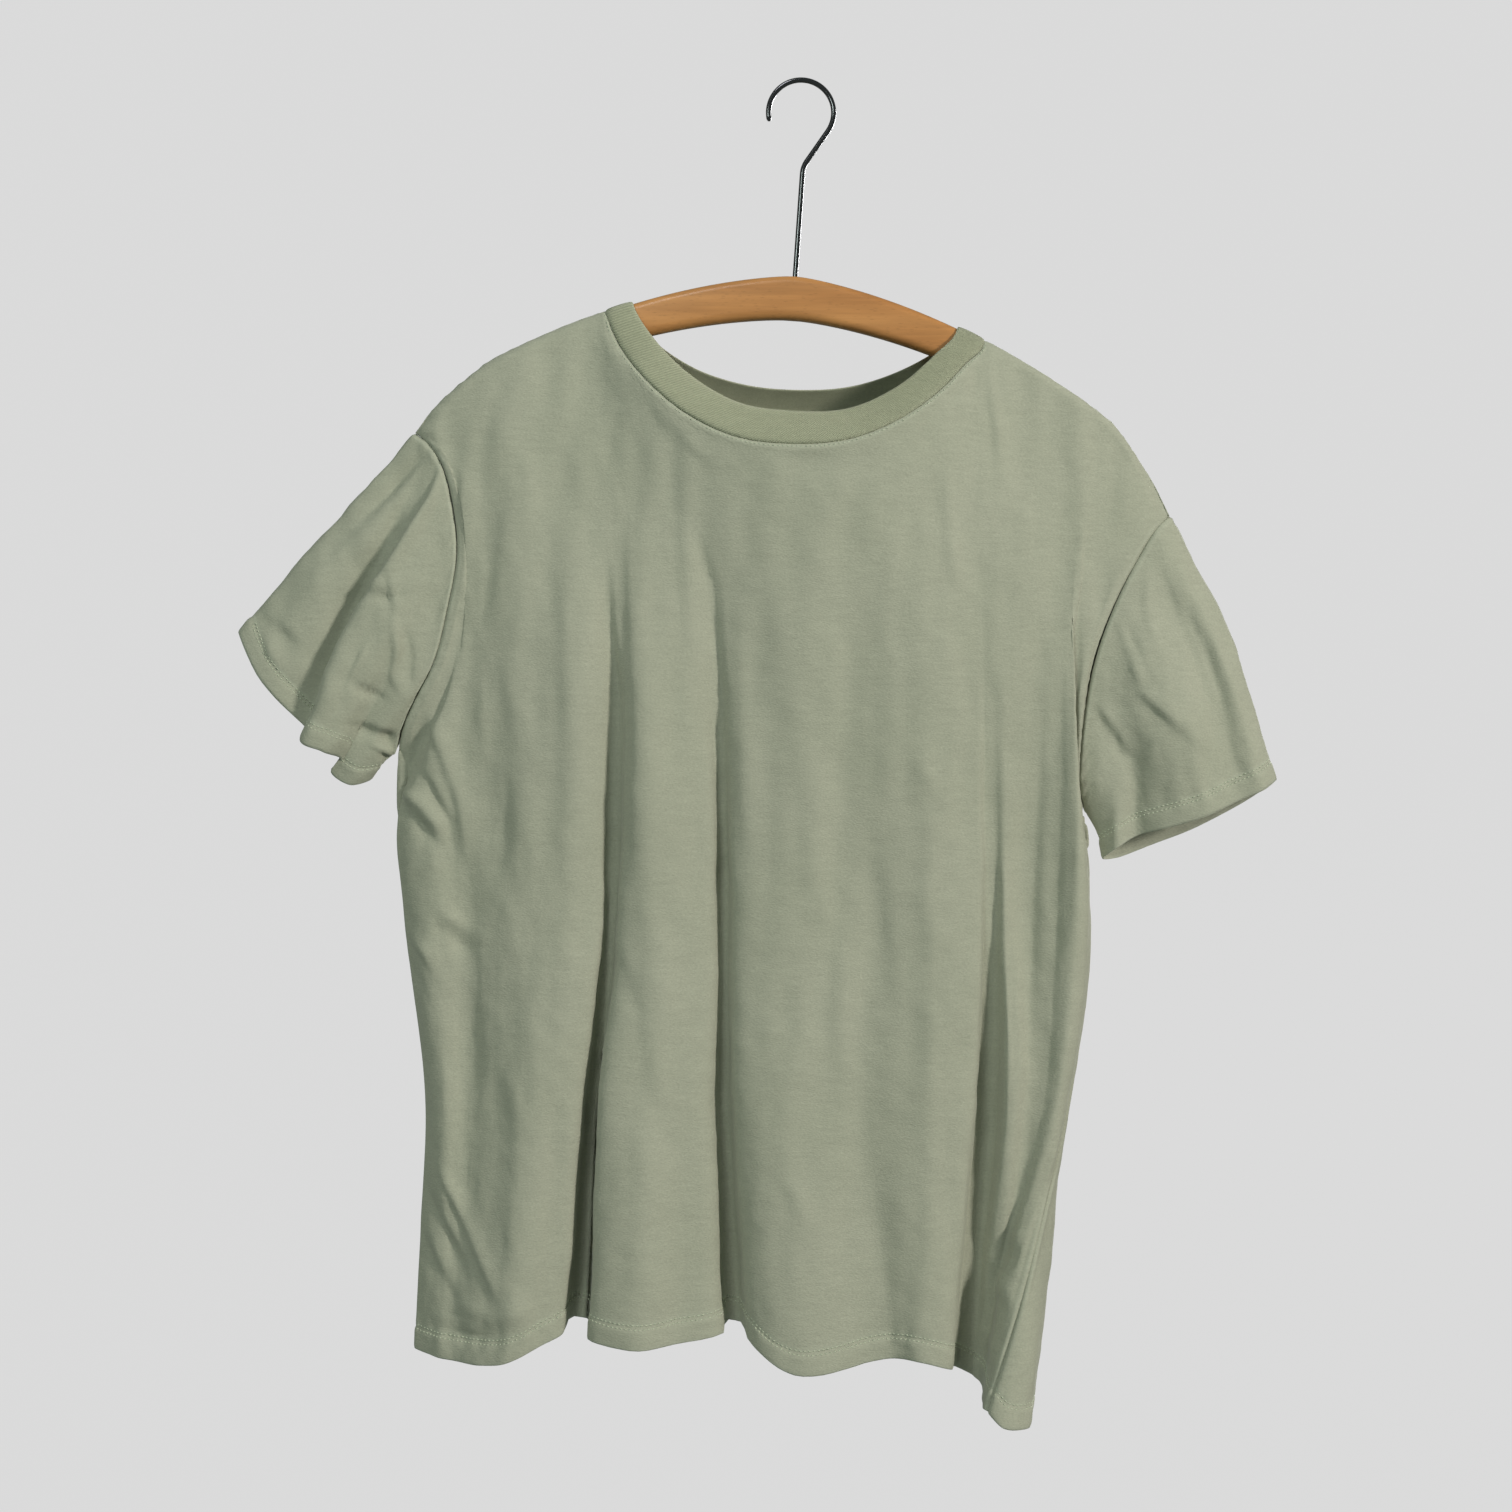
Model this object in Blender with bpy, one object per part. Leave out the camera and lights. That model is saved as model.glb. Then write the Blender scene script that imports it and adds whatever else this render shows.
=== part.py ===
"""A short-sleeved crew-neck t-shirt hanging on a wooden hanger with a round wire hook.

Sizes are in millimetres and become metres where each mesh is made. The origin is the top of the
hook's inside, where it hangs on a rail. X runs to the right as seen from the shirt's front, Z is
up, and the front faces -Y, so "out" is how far a point stands forward of the hanger's middle
plane. Each panel of cloth is a smooth loft: a row of a table is one fold line, which starts on a
seam at the top and runs down through a yoke, a chest, a waist and a hem section.
"""

import math
from collections import namedtuple

import bmesh
import bpy
import numpy as np

MM = 0.001

# Cloth
WALL = 1.4
SEAM_GAP = 0.3
COLUMN_WIDTH = 21.0
SHOULDER_COLUMN_WIDTH = 11.0
SEAM_STAND = 7.0
UNDERARM_SHARE = 0.6
YOKE_SHARE = 0.45
SWING_START = 0.8
LANE_SLOPE = 0.35
LANE_SHARE = 0.27
SHOULDER_EASE = 30.0
SHOULDER_LEAN = 1.9
MIDDLE_X = -5.0
CHEST_Z = -545.0
WAIST_Z = -680.0
MITRE_LIMIT = 0.4
CURVE_SAMPLES = 400
ROLL_ROWS = 3
BODY_ROWS = (2, 2, 4, 3, 2, 2)
SLEEVE_ROWS = (4, 4)
BAND_ROWS = (2,)

# Hanger, in its own frame before it tilts about the hook
HANGER_TILT = math.radians(4.0)
STEM_X = 3.7
HANGER_TOP = -128.2
ARM_LENGTH = 196.0
ARM_THICKNESS = 12.0
ARM_HEIGHT_MIDDLE = 29.0
ARM_HEIGHT_END = 20.0
ARM_TIP = 5.5
ARM_SLOPE = 0.12
ARM_BEND = 0.00125
ARM_PEAK = 8.0
ARM_CLEARANCE = 0.8
CLOTH_ON_ARM = ARM_THICKNESS / 2 + ARM_CLEARANCE + WALL / 2
DROOP_RADIUS = 6.0
DROOP_LENGTH = 30.0
ARM_STEP = 20
ARM_SIDES = 12
ARM_END_SHARES = (0.0, 0.5, 0.8, 0.95)

# Hook
WIRE_RADIUS = 1.7
HOOK_INSIDE = 19.8
HOOK_TIP_TURN = 194.0
HOOK_END_TURN = -31.0
HOOK_BEND_RADIUS = 14.0
HOOK_DIAGONAL = 24.0
HOOK_SOCKET_DEPTH = 14.0
SOCKET_CLEARANCE = 0.3
HOOK_POINTS = 25
HOOK_TIP_TAPER = 0.55
BEND_SHARES = (0.25, 0.5, 0.75, 1.0)

Fold = namedtuple(
    "Fold",
    "seam yoke_x yoke_out chest_x chest_out waist_x waist_out hem_x hem_out hem_z bow_x bow_out",
    defaults=(0, 0),
)
SleeveFold = namedtuple("SleeveFold", "seam mid_x mid_out mid_z cuff_x cuff_out cuff_z")

# Halfway between waist and hem a fold bows from the straight line by bow_x and bow_out.
# A place on the seams along a panel's top: 0 is the left underarm, 1 the left shoulder point,
# 2 the left of the neck, 3 its right, 4 the right shoulder point and 5 the right underarm.
FRONT_FOLDS = (
    Fold(0.00, -266, 0, -262, 0, -247, 0, -254, 4, -832),
    Fold(0.38, -243, 14.5, -243, 15, -233, 17, -236, 19, -835),
    Fold(0.72, -219, 17, -216, 15, -218, 17, -222, 26, -836),
    Fold(1.00, -208, 20, -198, 21, -201, 25, -207, 32, -836),
    Fold(1.40, -182, 27, -174, 28, -180, 35, -190, 39, -833),
    Fold(1.70, -150, 29, -147, 29, -160, 33, -170, 34, -824),
    Fold(1.92, -131, 27, -129.5, 23, -144, 26, -153.5, 27, -817),
    Fold(2.00, -122, 26, -126.5, 13, -141.5, 6, -150, 5, -812),
    Fold(2.035, -118.5, 26.5, -121.5, 14, -133.5, 6, -139.5, 6, -813),
    Fold(2.08, -113, 28, -117, 27, -130, 33, -136, 36, -818),
    Fold(2.17, -101, 32, -98, 36, -103.5, 42, -110, 47, -822),
    Fold(2.24, -80, 30, -75, 31, -80, 34, -82, 38, -821),
    Fold(2.29, -66, 26, -56, 22, -57.5, 24, -52, 26, -817),
    Fold(2.32, -58, 25, -52.5, 11, -53.5, 7, -48, 6, -814),
    Fold(2.34, -53, 25, -48.5, 11, -48, 7, -39.5, 8, -815),
    Fold(2.365, -47, 27, -44, 23, -44, 26, -36, 28, -820),
    Fold(2.515, -4, 35, -2, 32, -8, 38, -5, 44, -839),
    Fold(2.645, 38, 33, 38, 27, 40, 30, 57, 30, -832),
    Fold(2.79, 80, 33, 82, 32, 82, 36, 79, 38, -833),
    Fold(2.92, 112, 27.5, 115, 26, 109, 26, 96, 28, -840),
    Fold(2.965, 118, 26, 119, 18, 114, 8, 101, 2, -846),
    Fold(3.00, 123, 26, 127, 17, 127, 7, 112.5, -5, -853),
    Fold(3.08, 131, 26, 131, 22, 131.5, 24, 116, -4, -855),
    Fold(3.30, 150, 22, 146, 17, 145, 18, 119, 4, -857),
    Fold(3.62, 173, 22, 166, 19, 155, 19, 119, 16, -860, -3, -2),
    Fold(4.00, 177, 23, 178, 24, 163, 23, 118, 26, -861, -5, -2),
    Fold(4.45, 177, 18, 185, 19, 168.5, 19, 117.3, 33, -862, -3, 1),
    Fold(4.75, 180, 12, 188, 12, 171, 14, 116.2, 38, -862, 0, 2),
    Fold(5.00, 188.5, 2, 189, 4, 173, 9, 117.5, 43.5, -862, 3, 3),
)
BACK_FOLDS = (
    Fold(0.40, -243, -12, -244, -14, -230, -16, -238, -18, -828),
    Fold(0.75, -222, -17, -222, -24, -216, -28, -222, -32, -824),
    Fold(1.00, -208, -22, -200, -30, -195, -34, -201, -38, -822),
    Fold(1.45, -168, -26, -165, -20, -160, -16, -164, -14, -812),
    Fold(2.00, -122, -31, -122, -34, -120, -39, -122, -45, -824),
    Fold(2.25, -80, -34, -79, -26, -78, -20, -80, -15, -815),
    Fold(2.50, -22, -39, -24, -36, -24, -40, -22, -46, -828),
    Fold(2.72, 30, -37, 26, -28, 24, -21, 24, -15, -822),
    Fold(2.88, 74, -36, 70, -35, 67, -39, 66, -46, -834),
    Fold(3.00, 112, -30, 108, -26, 104, -22, 97, -26, -840),
    Fold(3.50, 158, -27, 152, -31, 142, -33, 128, -38, -850),
    Fold(4.00, 176, -21, 180, -25, 168, -23, 146, -18, -862),
    Fold(4.40, 177, -17, 188, -16, 175, -14, 149.5, 8, -872, 2, 2),
    Fold(4.72, 180, -13, 190, -9, 176.5, -5, 142, 40, -874),
    Fold(4.90, 185, -6, 190, -2, 175.8, 3, 126, 50, -870),
)

# On a sleeve's ring 0 is the shoulder point, 1 the underarm by way of the front, 2 is back at 0.
LEFT_SLEEVE_FOLDS = (
    SleeveFold(0.00, -313, 1, -297.5, -370, 0, -366),
    SleeveFold(0.03, -304, 9, -306, -357, 8, -391),
    SleeveFold(0.06, -294, 9, -317, -341, 9, -410),
    SleeveFold(0.09, -285, 5, -328, -325, 6, -426),
    SleeveFold(0.13, -282, 14, -335, -326, 16, -432),
    SleeveFold(0.28, -266, 22, -352, -312, 21, -441),
    SleeveFold(0.45, -261, 17, -378, -302, 9, -446),
    SleeveFold(0.60, -268, 15, -402, -309, 5, -454),
    SleeveFold(0.80, -274, 12, -430, -297, 5, -463),
    SleeveFold(1.00, -277, 0, -450, -285, -2, -460),
    SleeveFold(1.25, -281, -14, -425, -296, -15, -458),
    SleeveFold(1.50, -284, -19, -392, -311, -20, -442),
    SleeveFold(1.75, -292, -17, -345, -335, -17, -414),
    SleeveFold(1.92, -305, -9, -310, -358, -9, -384),
)
RIGHT_SLEEVE_FOLDS = (
    SleeveFold(0.00, 282, 1, -366, 313, 0, -460),
    SleeveFold(0.07, 272, 12, -368, 303, 11, -466),
    SleeveFold(0.17, 262, 10, -374, 287, 12, -473),
    SleeveFold(0.36, 240, 22, -394, 262, 18, -484),
    SleeveFold(0.55, 222, 20, -418, 236, 13, -492),
    SleeveFold(0.72, 211, 11, -440, 220, 4, -497),
    SleeveFold(0.88, 200, 10, -468, 206, 9, -505),
    SleeveFold(1.00, 197, 0, -494, 200, -1, -511),
    SleeveFold(1.20, 204, -13, -470, 210, -11, -512),
    SleeveFold(1.45, 222, -18, -430, 236, -17, -503),
    SleeveFold(1.70, 250, -17, -395, 268, -16, -490),
    SleeveFold(1.90, 274, -9, -370, 302, -9, -470),
)

# Seams: x, out at the front, out at the back, z
LEFT_ARMHOLE = (
    (-266, 0, 0, -440),
    (-262, 7, -7, -426),
    (-253, 12, -11, -407),
    (-241, 15, -14, -385),
    (-231, 16, -15, -348),
    (-225, 15, -15, -308),
    (-228, 13, -14, -282),
    (-237, 10, -11, -251),
    (-246, 6, -6, -238),
    (-254.8, 0, 0, -231),
)
RIGHT_ARMHOLE = (
    (243.5, 0, 0, -285.8),
    (236, 6, -6, -292),
    (220, 12, -12, -316),
    (203.5, 14, -14, -348),
    (191, 13, -15, -384),
    (186, 12, -15, -410),
    (182.5, 10, -13, -440),
    (182, 7, -8, -462),
    (186, 0, 0, -478),
)
LEFT_DROOP = ((-254.8, -231), (-241.6, -213.2), (-228, -201.5), (-218.5, -194.5))
RIGHT_DROOP = ((196, -217.8), (203, -223), (213.8, -236.3), (230.3, -259.4), (243.5, -285.8))
LEFT_ARM_PLACES = (-206, -198, -187, -170, -150)
RIGHT_ARM_PLACES = (140, 160, 175, 184)
NECK_ROLL_SHARES = (0.011, 0.022, 0.033)
NECK_ROLL = ((0, 0), (1, 45), (2.5, 85))
NECK_LEFT_X = -129.4
NECK_RIGHT_X = 121.4
BAND_LEFT_X = -111.5
BAND_RIGHT_X = 103.6

# Neckline: x, out, z between the two arms of the hanger, left to right
FRONT_NECK_SEAM = (
    (-118.6, 13, -175.7),
    (-105, 22, -195.1),
    (-72.2, 32, -224.7),
    (-40, 37, -239.7),
    (-8, 38, -243.7),
    (30.5, 37, -240.4),
    (62.9, 32, -226.7),
    (92.9, 22, -203.5),
    (107.6, 14, -187.2),
)
FRONT_BAND_TOP = (
    (-95.7, 14, -172.6),
    (-72.5, 22, -197),
    (-40.1, 27, -216.3),
    (-7.8, 29, -221.7),
    (30.9, 27, -219.6),
    (63.7, 22, -203.5),
    (87.2, 14, -182.2),
)
BACK_NECK_SEAM = (
    (-121, -13, -167),
    (-106, -25, -181),
    (-76, -36, -197),
    (-41, -41, -207),
    (-1, -42.5, -211),
    (38, -41.5, -209.5),
    (72, -36, -201),
    (99, -25, -189),
    (113, -13, -180),
)
BACK_BAND_TOP = (
    (-103, -13, -161),
    (-74, -25, -182),
    (-40.5, -30, -193),
    (-0.2, -31, -197.1),
    (33.4, -30, -195.1),
    (66.8, -25, -185.4),
    (89.7, -15, -174.6),
)

SAGE_FRONT = (0.30, 0.34, 0.25)
SAGE_BACK = (0.27, 0.31, 0.22)
SAGE_SLEEVE = (0.32, 0.36, 0.27)
SAGE_BAND = (0.34, 0.37, 0.26)
WOOD = (0.47, 0.22, 0.07)
DARK_CHROME = (0.30, 0.30, 0.31)


def smooth(knots, points, places):
    """Points of a smooth curve through the given ones, which lie at the knots."""
    knots = np.asarray(knots, float)
    points = np.asarray(points, float)
    places = np.asarray(places, float)
    step = np.diff(knots)[:, None]
    slope = np.diff(points, axis=0) / step
    turn = (slope[:-1] * step[1:] + slope[1:] * step[:-1]) / (step[:-1] + step[1:])
    tangent = np.vstack([slope[:1], turn, slope[-1:]])
    span = np.clip(np.searchsorted(knots, places, side="right") - 1, 0, len(step) - 1)
    width = step[span]
    t = ((places - knots[span])[:, None]) / width
    start = (2 * t**3 - 3 * t**2 + 1) * points[span]
    leave = (t**3 - 2 * t**2 + t) * width * tangent[span]
    end = (3 * t**2 - 2 * t**3) * points[span + 1]
    arrive = (t**3 - t**2) * width * tangent[span + 1]
    return start + leave + end + arrive


def smooth_loop(knots, points, length, places):
    """The same for a closed loop of the given length in knots."""
    knots = np.asarray(knots, float)
    points = np.asarray(points, float)
    around = np.concatenate([knots[-3:] - length, knots, knots[:3] + length])
    padded = np.vstack([points[-3:], points, points[:3]])
    return smooth(around, padded, np.asarray(places, float))


def along(points, shares):
    """Points of the smooth curve through these, at the given shares of its length."""
    points = np.asarray(points, float)
    knots = np.append(0, np.cumsum(np.linalg.norm(np.diff(points, axis=0), axis=1)))
    places = np.linspace(0, knots[-1], CURVE_SAMPLES)
    fine = smooth(knots, points, places)
    length = np.append(0, np.cumsum(np.linalg.norm(np.diff(fine, axis=0), axis=1)))
    return smooth(knots, points, np.interp(np.asarray(shares) * length[-1], length, places))


def tilted(x, z):
    """A point of the hanger's own frame, turned with the tilt about the middle of the hook."""
    z = z + HOOK_INSIDE
    turned_x = x * math.cos(HANGER_TILT) + z * math.sin(HANGER_TILT)
    turned_z = z * math.cos(HANGER_TILT) - x * math.sin(HANGER_TILT)
    return turned_x, turned_z - HOOK_INSIDE


def arm_drop(s):
    """How far the hanger's top lies under its peak, at a distance from the middle."""
    rounded = math.hypot(s, ARM_PEAK) - ARM_PEAK
    return ARM_SLOPE * rounded + ARM_BEND * s * s


def cloth_over_arm(x, turn):
    """A point of the cloth lying over the hanger: turn 0 is on top, 90 in front, -90 behind."""
    reach = np.linspace(-ARM_LENGTH - 2 * ARM_TIP, ARM_LENGTH + 2 * ARM_TIP, CURVE_SAMPLES)
    top = [tilted(STEM_X + s, HANGER_TOP - arm_drop(s)) for s in reach]
    middle = np.interp(x, *zip(*top)) - ARM_THICKNESS / 2
    turn = math.radians(turn)
    return x, CLOTH_ON_ARM * math.sin(turn), middle + CLOTH_ON_ARM * math.cos(turn)


def neckline(left_x, points, right_x, side):
    """A line around half the neck, rolled over both arms; side is 1 in front, -1 behind."""
    left = [cloth_over_arm(left_x + lean, side * turn) for lean, turn in NECK_ROLL]
    right = [cloth_over_arm(right_x - lean, side * turn) for lean, turn in reversed(NECK_ROLL)]
    return left + list(points) + right


def top_lines(side):
    """The five seams along the top of a panel, left to right, as lines of x, out, z."""
    column = 1 if side > 0 else 2
    left_arm = [cloth_over_arm(x, 0) for x in (*LEFT_ARM_PLACES, NECK_LEFT_X)]
    right_arm = [cloth_over_arm(x, 0) for x in (NECK_RIGHT_X, *RIGHT_ARM_PLACES)]
    return (
        [(row[0], row[column], row[3]) for row in LEFT_ARMHOLE],
        [(x, 0, z) for x, z in LEFT_DROOP] + left_arm,
        neckline(NECK_LEFT_X, FRONT_NECK_SEAM if side > 0 else BACK_NECK_SEAM, NECK_RIGHT_X, side),
        right_arm + [(x, 0, z) for x, z in RIGHT_DROOP],
        [(row[0], row[column], row[3]) for row in RIGHT_ARMHOLE],
    )


def on_top(side, seams):
    """Points on the seams along a panel's top, at places counted as in the fold tables."""
    seams = np.asarray(seams, float)
    found = np.zeros((len(seams), 3))
    for number, line in enumerate(top_lines(side)):
        here = (seams >= number) & (seams <= number + 1)
        if here.any():
            found[here] = along(line, seams[here] - number)
    return found


def section_ring():
    """Fold rows all round the body, with how far round each lies and which half it is on."""
    rows = [(fold, 1) for fold in FRONT_FOLDS] + [(fold, -1) for fold in reversed(BACK_FOLDS)]
    chest = np.array([(fold.chest_x, fold.chest_out) for fold, _ in rows])
    waist = np.array([(fold.waist_x, fold.waist_out) for fold, _ in rows])
    hem = np.array([(fold.hem_x, fold.hem_out) for fold, _ in rows])
    lengths = [
        np.linalg.norm(np.roll(section, -1, axis=0) - section, axis=1)
        for section in (chest, waist, hem)
    ]
    gaps = np.mean(lengths, axis=0)
    return rows, np.append(0, np.cumsum(gaps[:-1])), gaps.sum()


def low_section(fold):
    """A fold's place halfway between waist and hem."""
    return (
        (fold.waist_x + fold.hem_x) / 2 + fold.bow_x,
        (fold.waist_out + fold.hem_out) / 2 + fold.bow_out,
        (WAIST_Z + fold.hem_z) / 2,
    )


def yoke_z(fold, side):
    """The height at which a fold line crosses the yoke section."""
    top = on_top(side, [fold.seam])[0, 2]
    return top + YOKE_SHARE * (CHEST_Z - top)


def body_sections(places):
    """The yoke, chest, waist, low and hem sections, read at places around the body."""
    rows, knots, length = section_ring()
    stations = (
        [(fold.yoke_x, fold.yoke_out, yoke_z(fold, side)) for fold, side in rows],
        [(fold.chest_x, fold.chest_out, CHEST_Z) for fold, _ in rows],
        [(fold.waist_x, fold.waist_out, WAIST_Z) for fold, _ in rows],
        [low_section(fold) for fold, _ in rows],
        [(fold.hem_x, fold.hem_out, fold.hem_z) for fold, _ in rows],
    )
    return [smooth_loop(knots, station, length, places) for station in stations]


def on_shoulder(seam):
    """Whether a place on the top seams is on one of the two shoulder seams."""
    return 1 <= seam < 2 or 3 <= seam < 4


def panel_seams(side):
    """Where the columns of a panel start: at each fold of it and of the sleeves, and between."""
    shoulders = {fold.seam for fold in FRONT_FOLDS + BACK_FOLDS if on_shoulder(fold.seam)}
    stops = {fold.seam for fold in (FRONT_FOLDS if side > 0 else BACK_FOLDS)} | shoulders
    stops |= {0.0, 1.0, 2.0, 3.0, 4.0, 5.0}
    for share in NECK_ROLL_SHARES:
        stops |= {2 + share, 3 - share}
    for fold in LEFT_SLEEVE_FOLDS:
        stops.add(round(1 - fold.seam if side > 0 else fold.seam - 1, 4))
    for fold in RIGHT_SLEEVE_FOLDS:
        stops.add(round(4 + fold.seam if side > 0 else 6 - fold.seam, 4))
    stops = sorted(stop for stop in stops if 0 <= stop <= 5)
    points = on_top(side, stops)
    seams = []
    for start, end, gap in zip(stops, stops[1:], np.linalg.norm(np.diff(points, axis=0), axis=1)):
        count = max(1, round(gap / (SHOULDER_COLUMN_WIDTH if on_shoulder(start) else COLUMN_WIDTH)))
        seams += [start + (end - start) * k / count for k in range(count)]
    return np.array([*seams, 5.0])


def around_body(side, seams):
    """How far round the body a panel's columns lie, from where they start on its top."""
    rows, knots, length = section_ring()
    turn = {id(fold): knot for (fold, _), knot in zip(rows, knots)}
    if side > 0:
        return np.interp(seams, [f.seam for f in FRONT_FOLDS], [turn[id(f)] for f in FRONT_FOLDS])
    known = [0.0, *(f.seam for f in BACK_FOLDS), 5.0]
    right_side = turn[id(FRONT_FOLDS[-1])]
    return np.interp(seams, known, [length, *(turn[id(f)] for f in BACK_FOLDS), right_side])


def away_from_seam(seams, top, target, side):
    """Unit vectors from a panel's top seams into the panel, square to the seams."""
    folds = FRONT_FOLDS if side > 0 else BACK_FOLDS
    way = target - top
    for shoulder, here in ((1, seams < 1), (4, seams > 4)):
        fold = next(fold for fold in folds if fold.seam == shoulder)
        way[here] = np.array([fold.yoke_x, fold.yoke_out, -SEAM_STAND]) - top[here] * (1, 1, 0)
    seam_line = np.gradient(top, axis=0)
    seam_line /= np.linalg.norm(seam_line, axis=1)[:, None]
    way -= seam_line * (way * seam_line).sum(axis=1)[:, None]
    way[:, 1] = side * np.maximum(side * way[:, 1], 0)
    for end in (0, -1):
        way[end] = target[end] - top[end]
    return way / np.linalg.norm(way, axis=1)[:, None]


def roll_rows(seams, target, side):
    """Rows just under a panel's top seam: over the hanger's arm, or square to the other seams."""
    top = on_top(side, seams)
    beyond = np.abs(top[:, 0] - MIDDLE_X) - ARM_LENGTH - ARM_TIP
    radius = CLOTH_ON_ARM + (DROOP_RADIUS - CLOTH_ON_ARM) * np.clip(beyond / DROOP_LENGTH, 0, 1)
    start = np.arcsin(np.clip(np.abs(top[:, 1]) / radius, 0, 1))
    start[(seams < UNDERARM_SHARE) | (seams > 5 - UNDERARM_SHARE)] = math.pi / 2
    square = away_from_seam(seams, top, target, side)
    points = on_top(side, [1, 4])[:, 0]
    reach = np.abs(top[:, :1] - points).min(axis=1)
    lean = SHOULDER_LEAN * np.clip(1 - reach / SHOULDER_EASE, 0, 1) * -np.sign(top[:, 0] - MIDDLE_X)
    rows = []
    for share in np.linspace(0, 1, ROLL_ROWS + 1):
        turn = start + (math.pi / 2 - start) * share
        row = top + square * (SEAM_STAND * share * start / (math.pi / 2))[:, None]
        forward = radius * (np.sin(turn) - np.sin(start))
        row[:, 0] += lean * forward
        row[:, 1] += side * forward
        row[:, 2] -= radius * (np.cos(start) - np.cos(turn))
        rows.append(row)
    return rows


def lane_row(seams, top, under, target):
    """The row where columns from an armhole have swung over to run straight down the panel."""
    swing = np.clip((np.abs(seams - 2.5) - SWING_START) / (1.5 - SWING_START), 0, 1)[:, None]
    swing = swing * swing * (3 - 2 * swing)
    drop = np.maximum(
        LANE_SLOPE * np.abs(target[:, 0] - top[:, 0]), LANE_SHARE * (top[:, 2] - target[:, 2])
    )
    nearer = np.abs(target[:, 0] - MIDDLE_X) < np.abs(under[:, 0] - MIDDLE_X)
    lane = np.column_stack(
        [
            np.where(nearer, target[:, 0], under[:, 0]),
            LANE_SHARE * top[:, 1] + (1 - LANE_SHARE) * target[:, 1],
            top[:, 2] - drop,
        ]
    )
    return swing * lane + (1 - swing) * (under + LANE_SHARE * (target - under))


def loft(stations, counts):
    """Rows of a smooth surface down through the stations, with so many rows between each two."""
    stations = np.array(stations)
    shares = np.concatenate(
        [k + np.arange(count) / count for k, count in enumerate(counts)] + [[len(counts)]]
    )
    surface = np.zeros((len(shares), stations.shape[1], 3))
    for column in range(stations.shape[1]):
        points = stations[:, column]
        gaps = np.linalg.norm(np.diff(points, axis=0), axis=1)
        knots = np.append(0, np.cumsum(gaps))
        places = np.interp(shares, np.arange(len(knots)), knots)
        surface[:, column] = smooth(knots, points, places)
    return surface


def body_panel(side):
    """Points of the front or back panel, in rows from the top seams to the hem."""
    seams = panel_seams(side)
    sections = body_sections(around_body(side, seams))
    rows = roll_rows(seams, sections[0], side)
    lane = lane_row(seams, rows[0], rows[-1], sections[0])
    surface = np.concatenate([np.array(rows[:-1]), loft([rows[-1], lane, *sections], BODY_ROWS)])
    return surface if side > 0 else surface[:, ::-1]


def sleeve(folds, first_seam, direction):
    """Points of a sleeve, in rows from the armhole to the cuff; each row is a closed ring."""
    front = panel_seams(1)
    back = panel_seams(-1)
    front = front[(front >= min(first_seam, first_seam + direction) - 1e-9)
                  & (front <= max(first_seam, first_seam + direction) + 1e-9)]
    back = back[(back >= min(first_seam, first_seam + direction) - 1e-9)
                & (back <= max(first_seam, first_seam + direction) + 1e-9)]
    front = front[::direction]
    back = back[::-direction]
    armhole = np.vstack([on_top(1, front), on_top(-1, back)[1:-1]])
    ring = np.concatenate([(front - first_seam) * direction, 2 - (back[1:-1] - first_seam) * direction])
    knots = [fold.seam for fold in folds]
    mid = smooth_loop(knots, [fold[1:4] for fold in folds], 2.0, ring)
    cuff = smooth_loop(knots, [fold[4:7] for fold in folds], 2.0, ring)
    surface = loft([armhole, mid, cuff], SLEEVE_ROWS)
    return surface if direction < 0 else surface[:, ::-1]


def neckband():
    """Points of the neckband, in rows from its top edge to the neck seam; each row is a ring."""
    front = panel_seams(1)
    back = panel_seams(-1)
    front = front[(front >= 2) & (front <= 3)]
    back = back[(back > 2) & (back < 3)][::-1]
    seam = np.vstack([on_top(1, front), on_top(-1, back)])
    front_top = neckline(BAND_LEFT_X, FRONT_BAND_TOP, BAND_RIGHT_X, 1)
    back_top = neckline(BAND_LEFT_X, BACK_BAND_TOP, BAND_RIGHT_X, -1)
    top = np.vstack([along(front_top, front - 2), along(back_top, back - 2)])
    return loft([top, seam], BAND_ROWS)


def in_space(surface):
    """Points of x, out, z as points of x, y, z."""
    return surface * np.array([1.0, -1.0, 1.0])


def surface_normals(surface, closed):
    """Outward normals of a grid whose rows run down and whose columns run round the body."""
    if closed:
        across = np.roll(surface, -1, axis=1) - np.roll(surface, 1, axis=1)
    else:
        across = np.gradient(surface, axis=1)
    down = np.gradient(surface, axis=0)
    normals = np.cross(down, across)
    return normals / np.linalg.norm(normals, axis=2)[:, :, None]


def share_seam_normals(pieces):
    """Gives points on a seam one normal, midway between the panels and the sleeve or band there."""
    panels = {}
    tubes = {}
    for surface, normals, closed in pieces.values():
        total = tubes if closed else panels
        for point, normal in zip(surface.reshape(-1, 3).round(4), normals.reshape(-1, 3)):
            total[tuple(point)] = total.get(tuple(point), 0) + normal
    for surface, normals, _ in pieces.values():
        for i, row in enumerate(surface.round(4)):
            for j, point in enumerate(row):
                met = [total[tuple(point)] for total in (panels, tubes) if tuple(point) in total]
                shared = sum(normal / np.linalg.norm(normal) for normal in met)
                normals[i, j] = shared / np.linalg.norm(shared)


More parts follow.
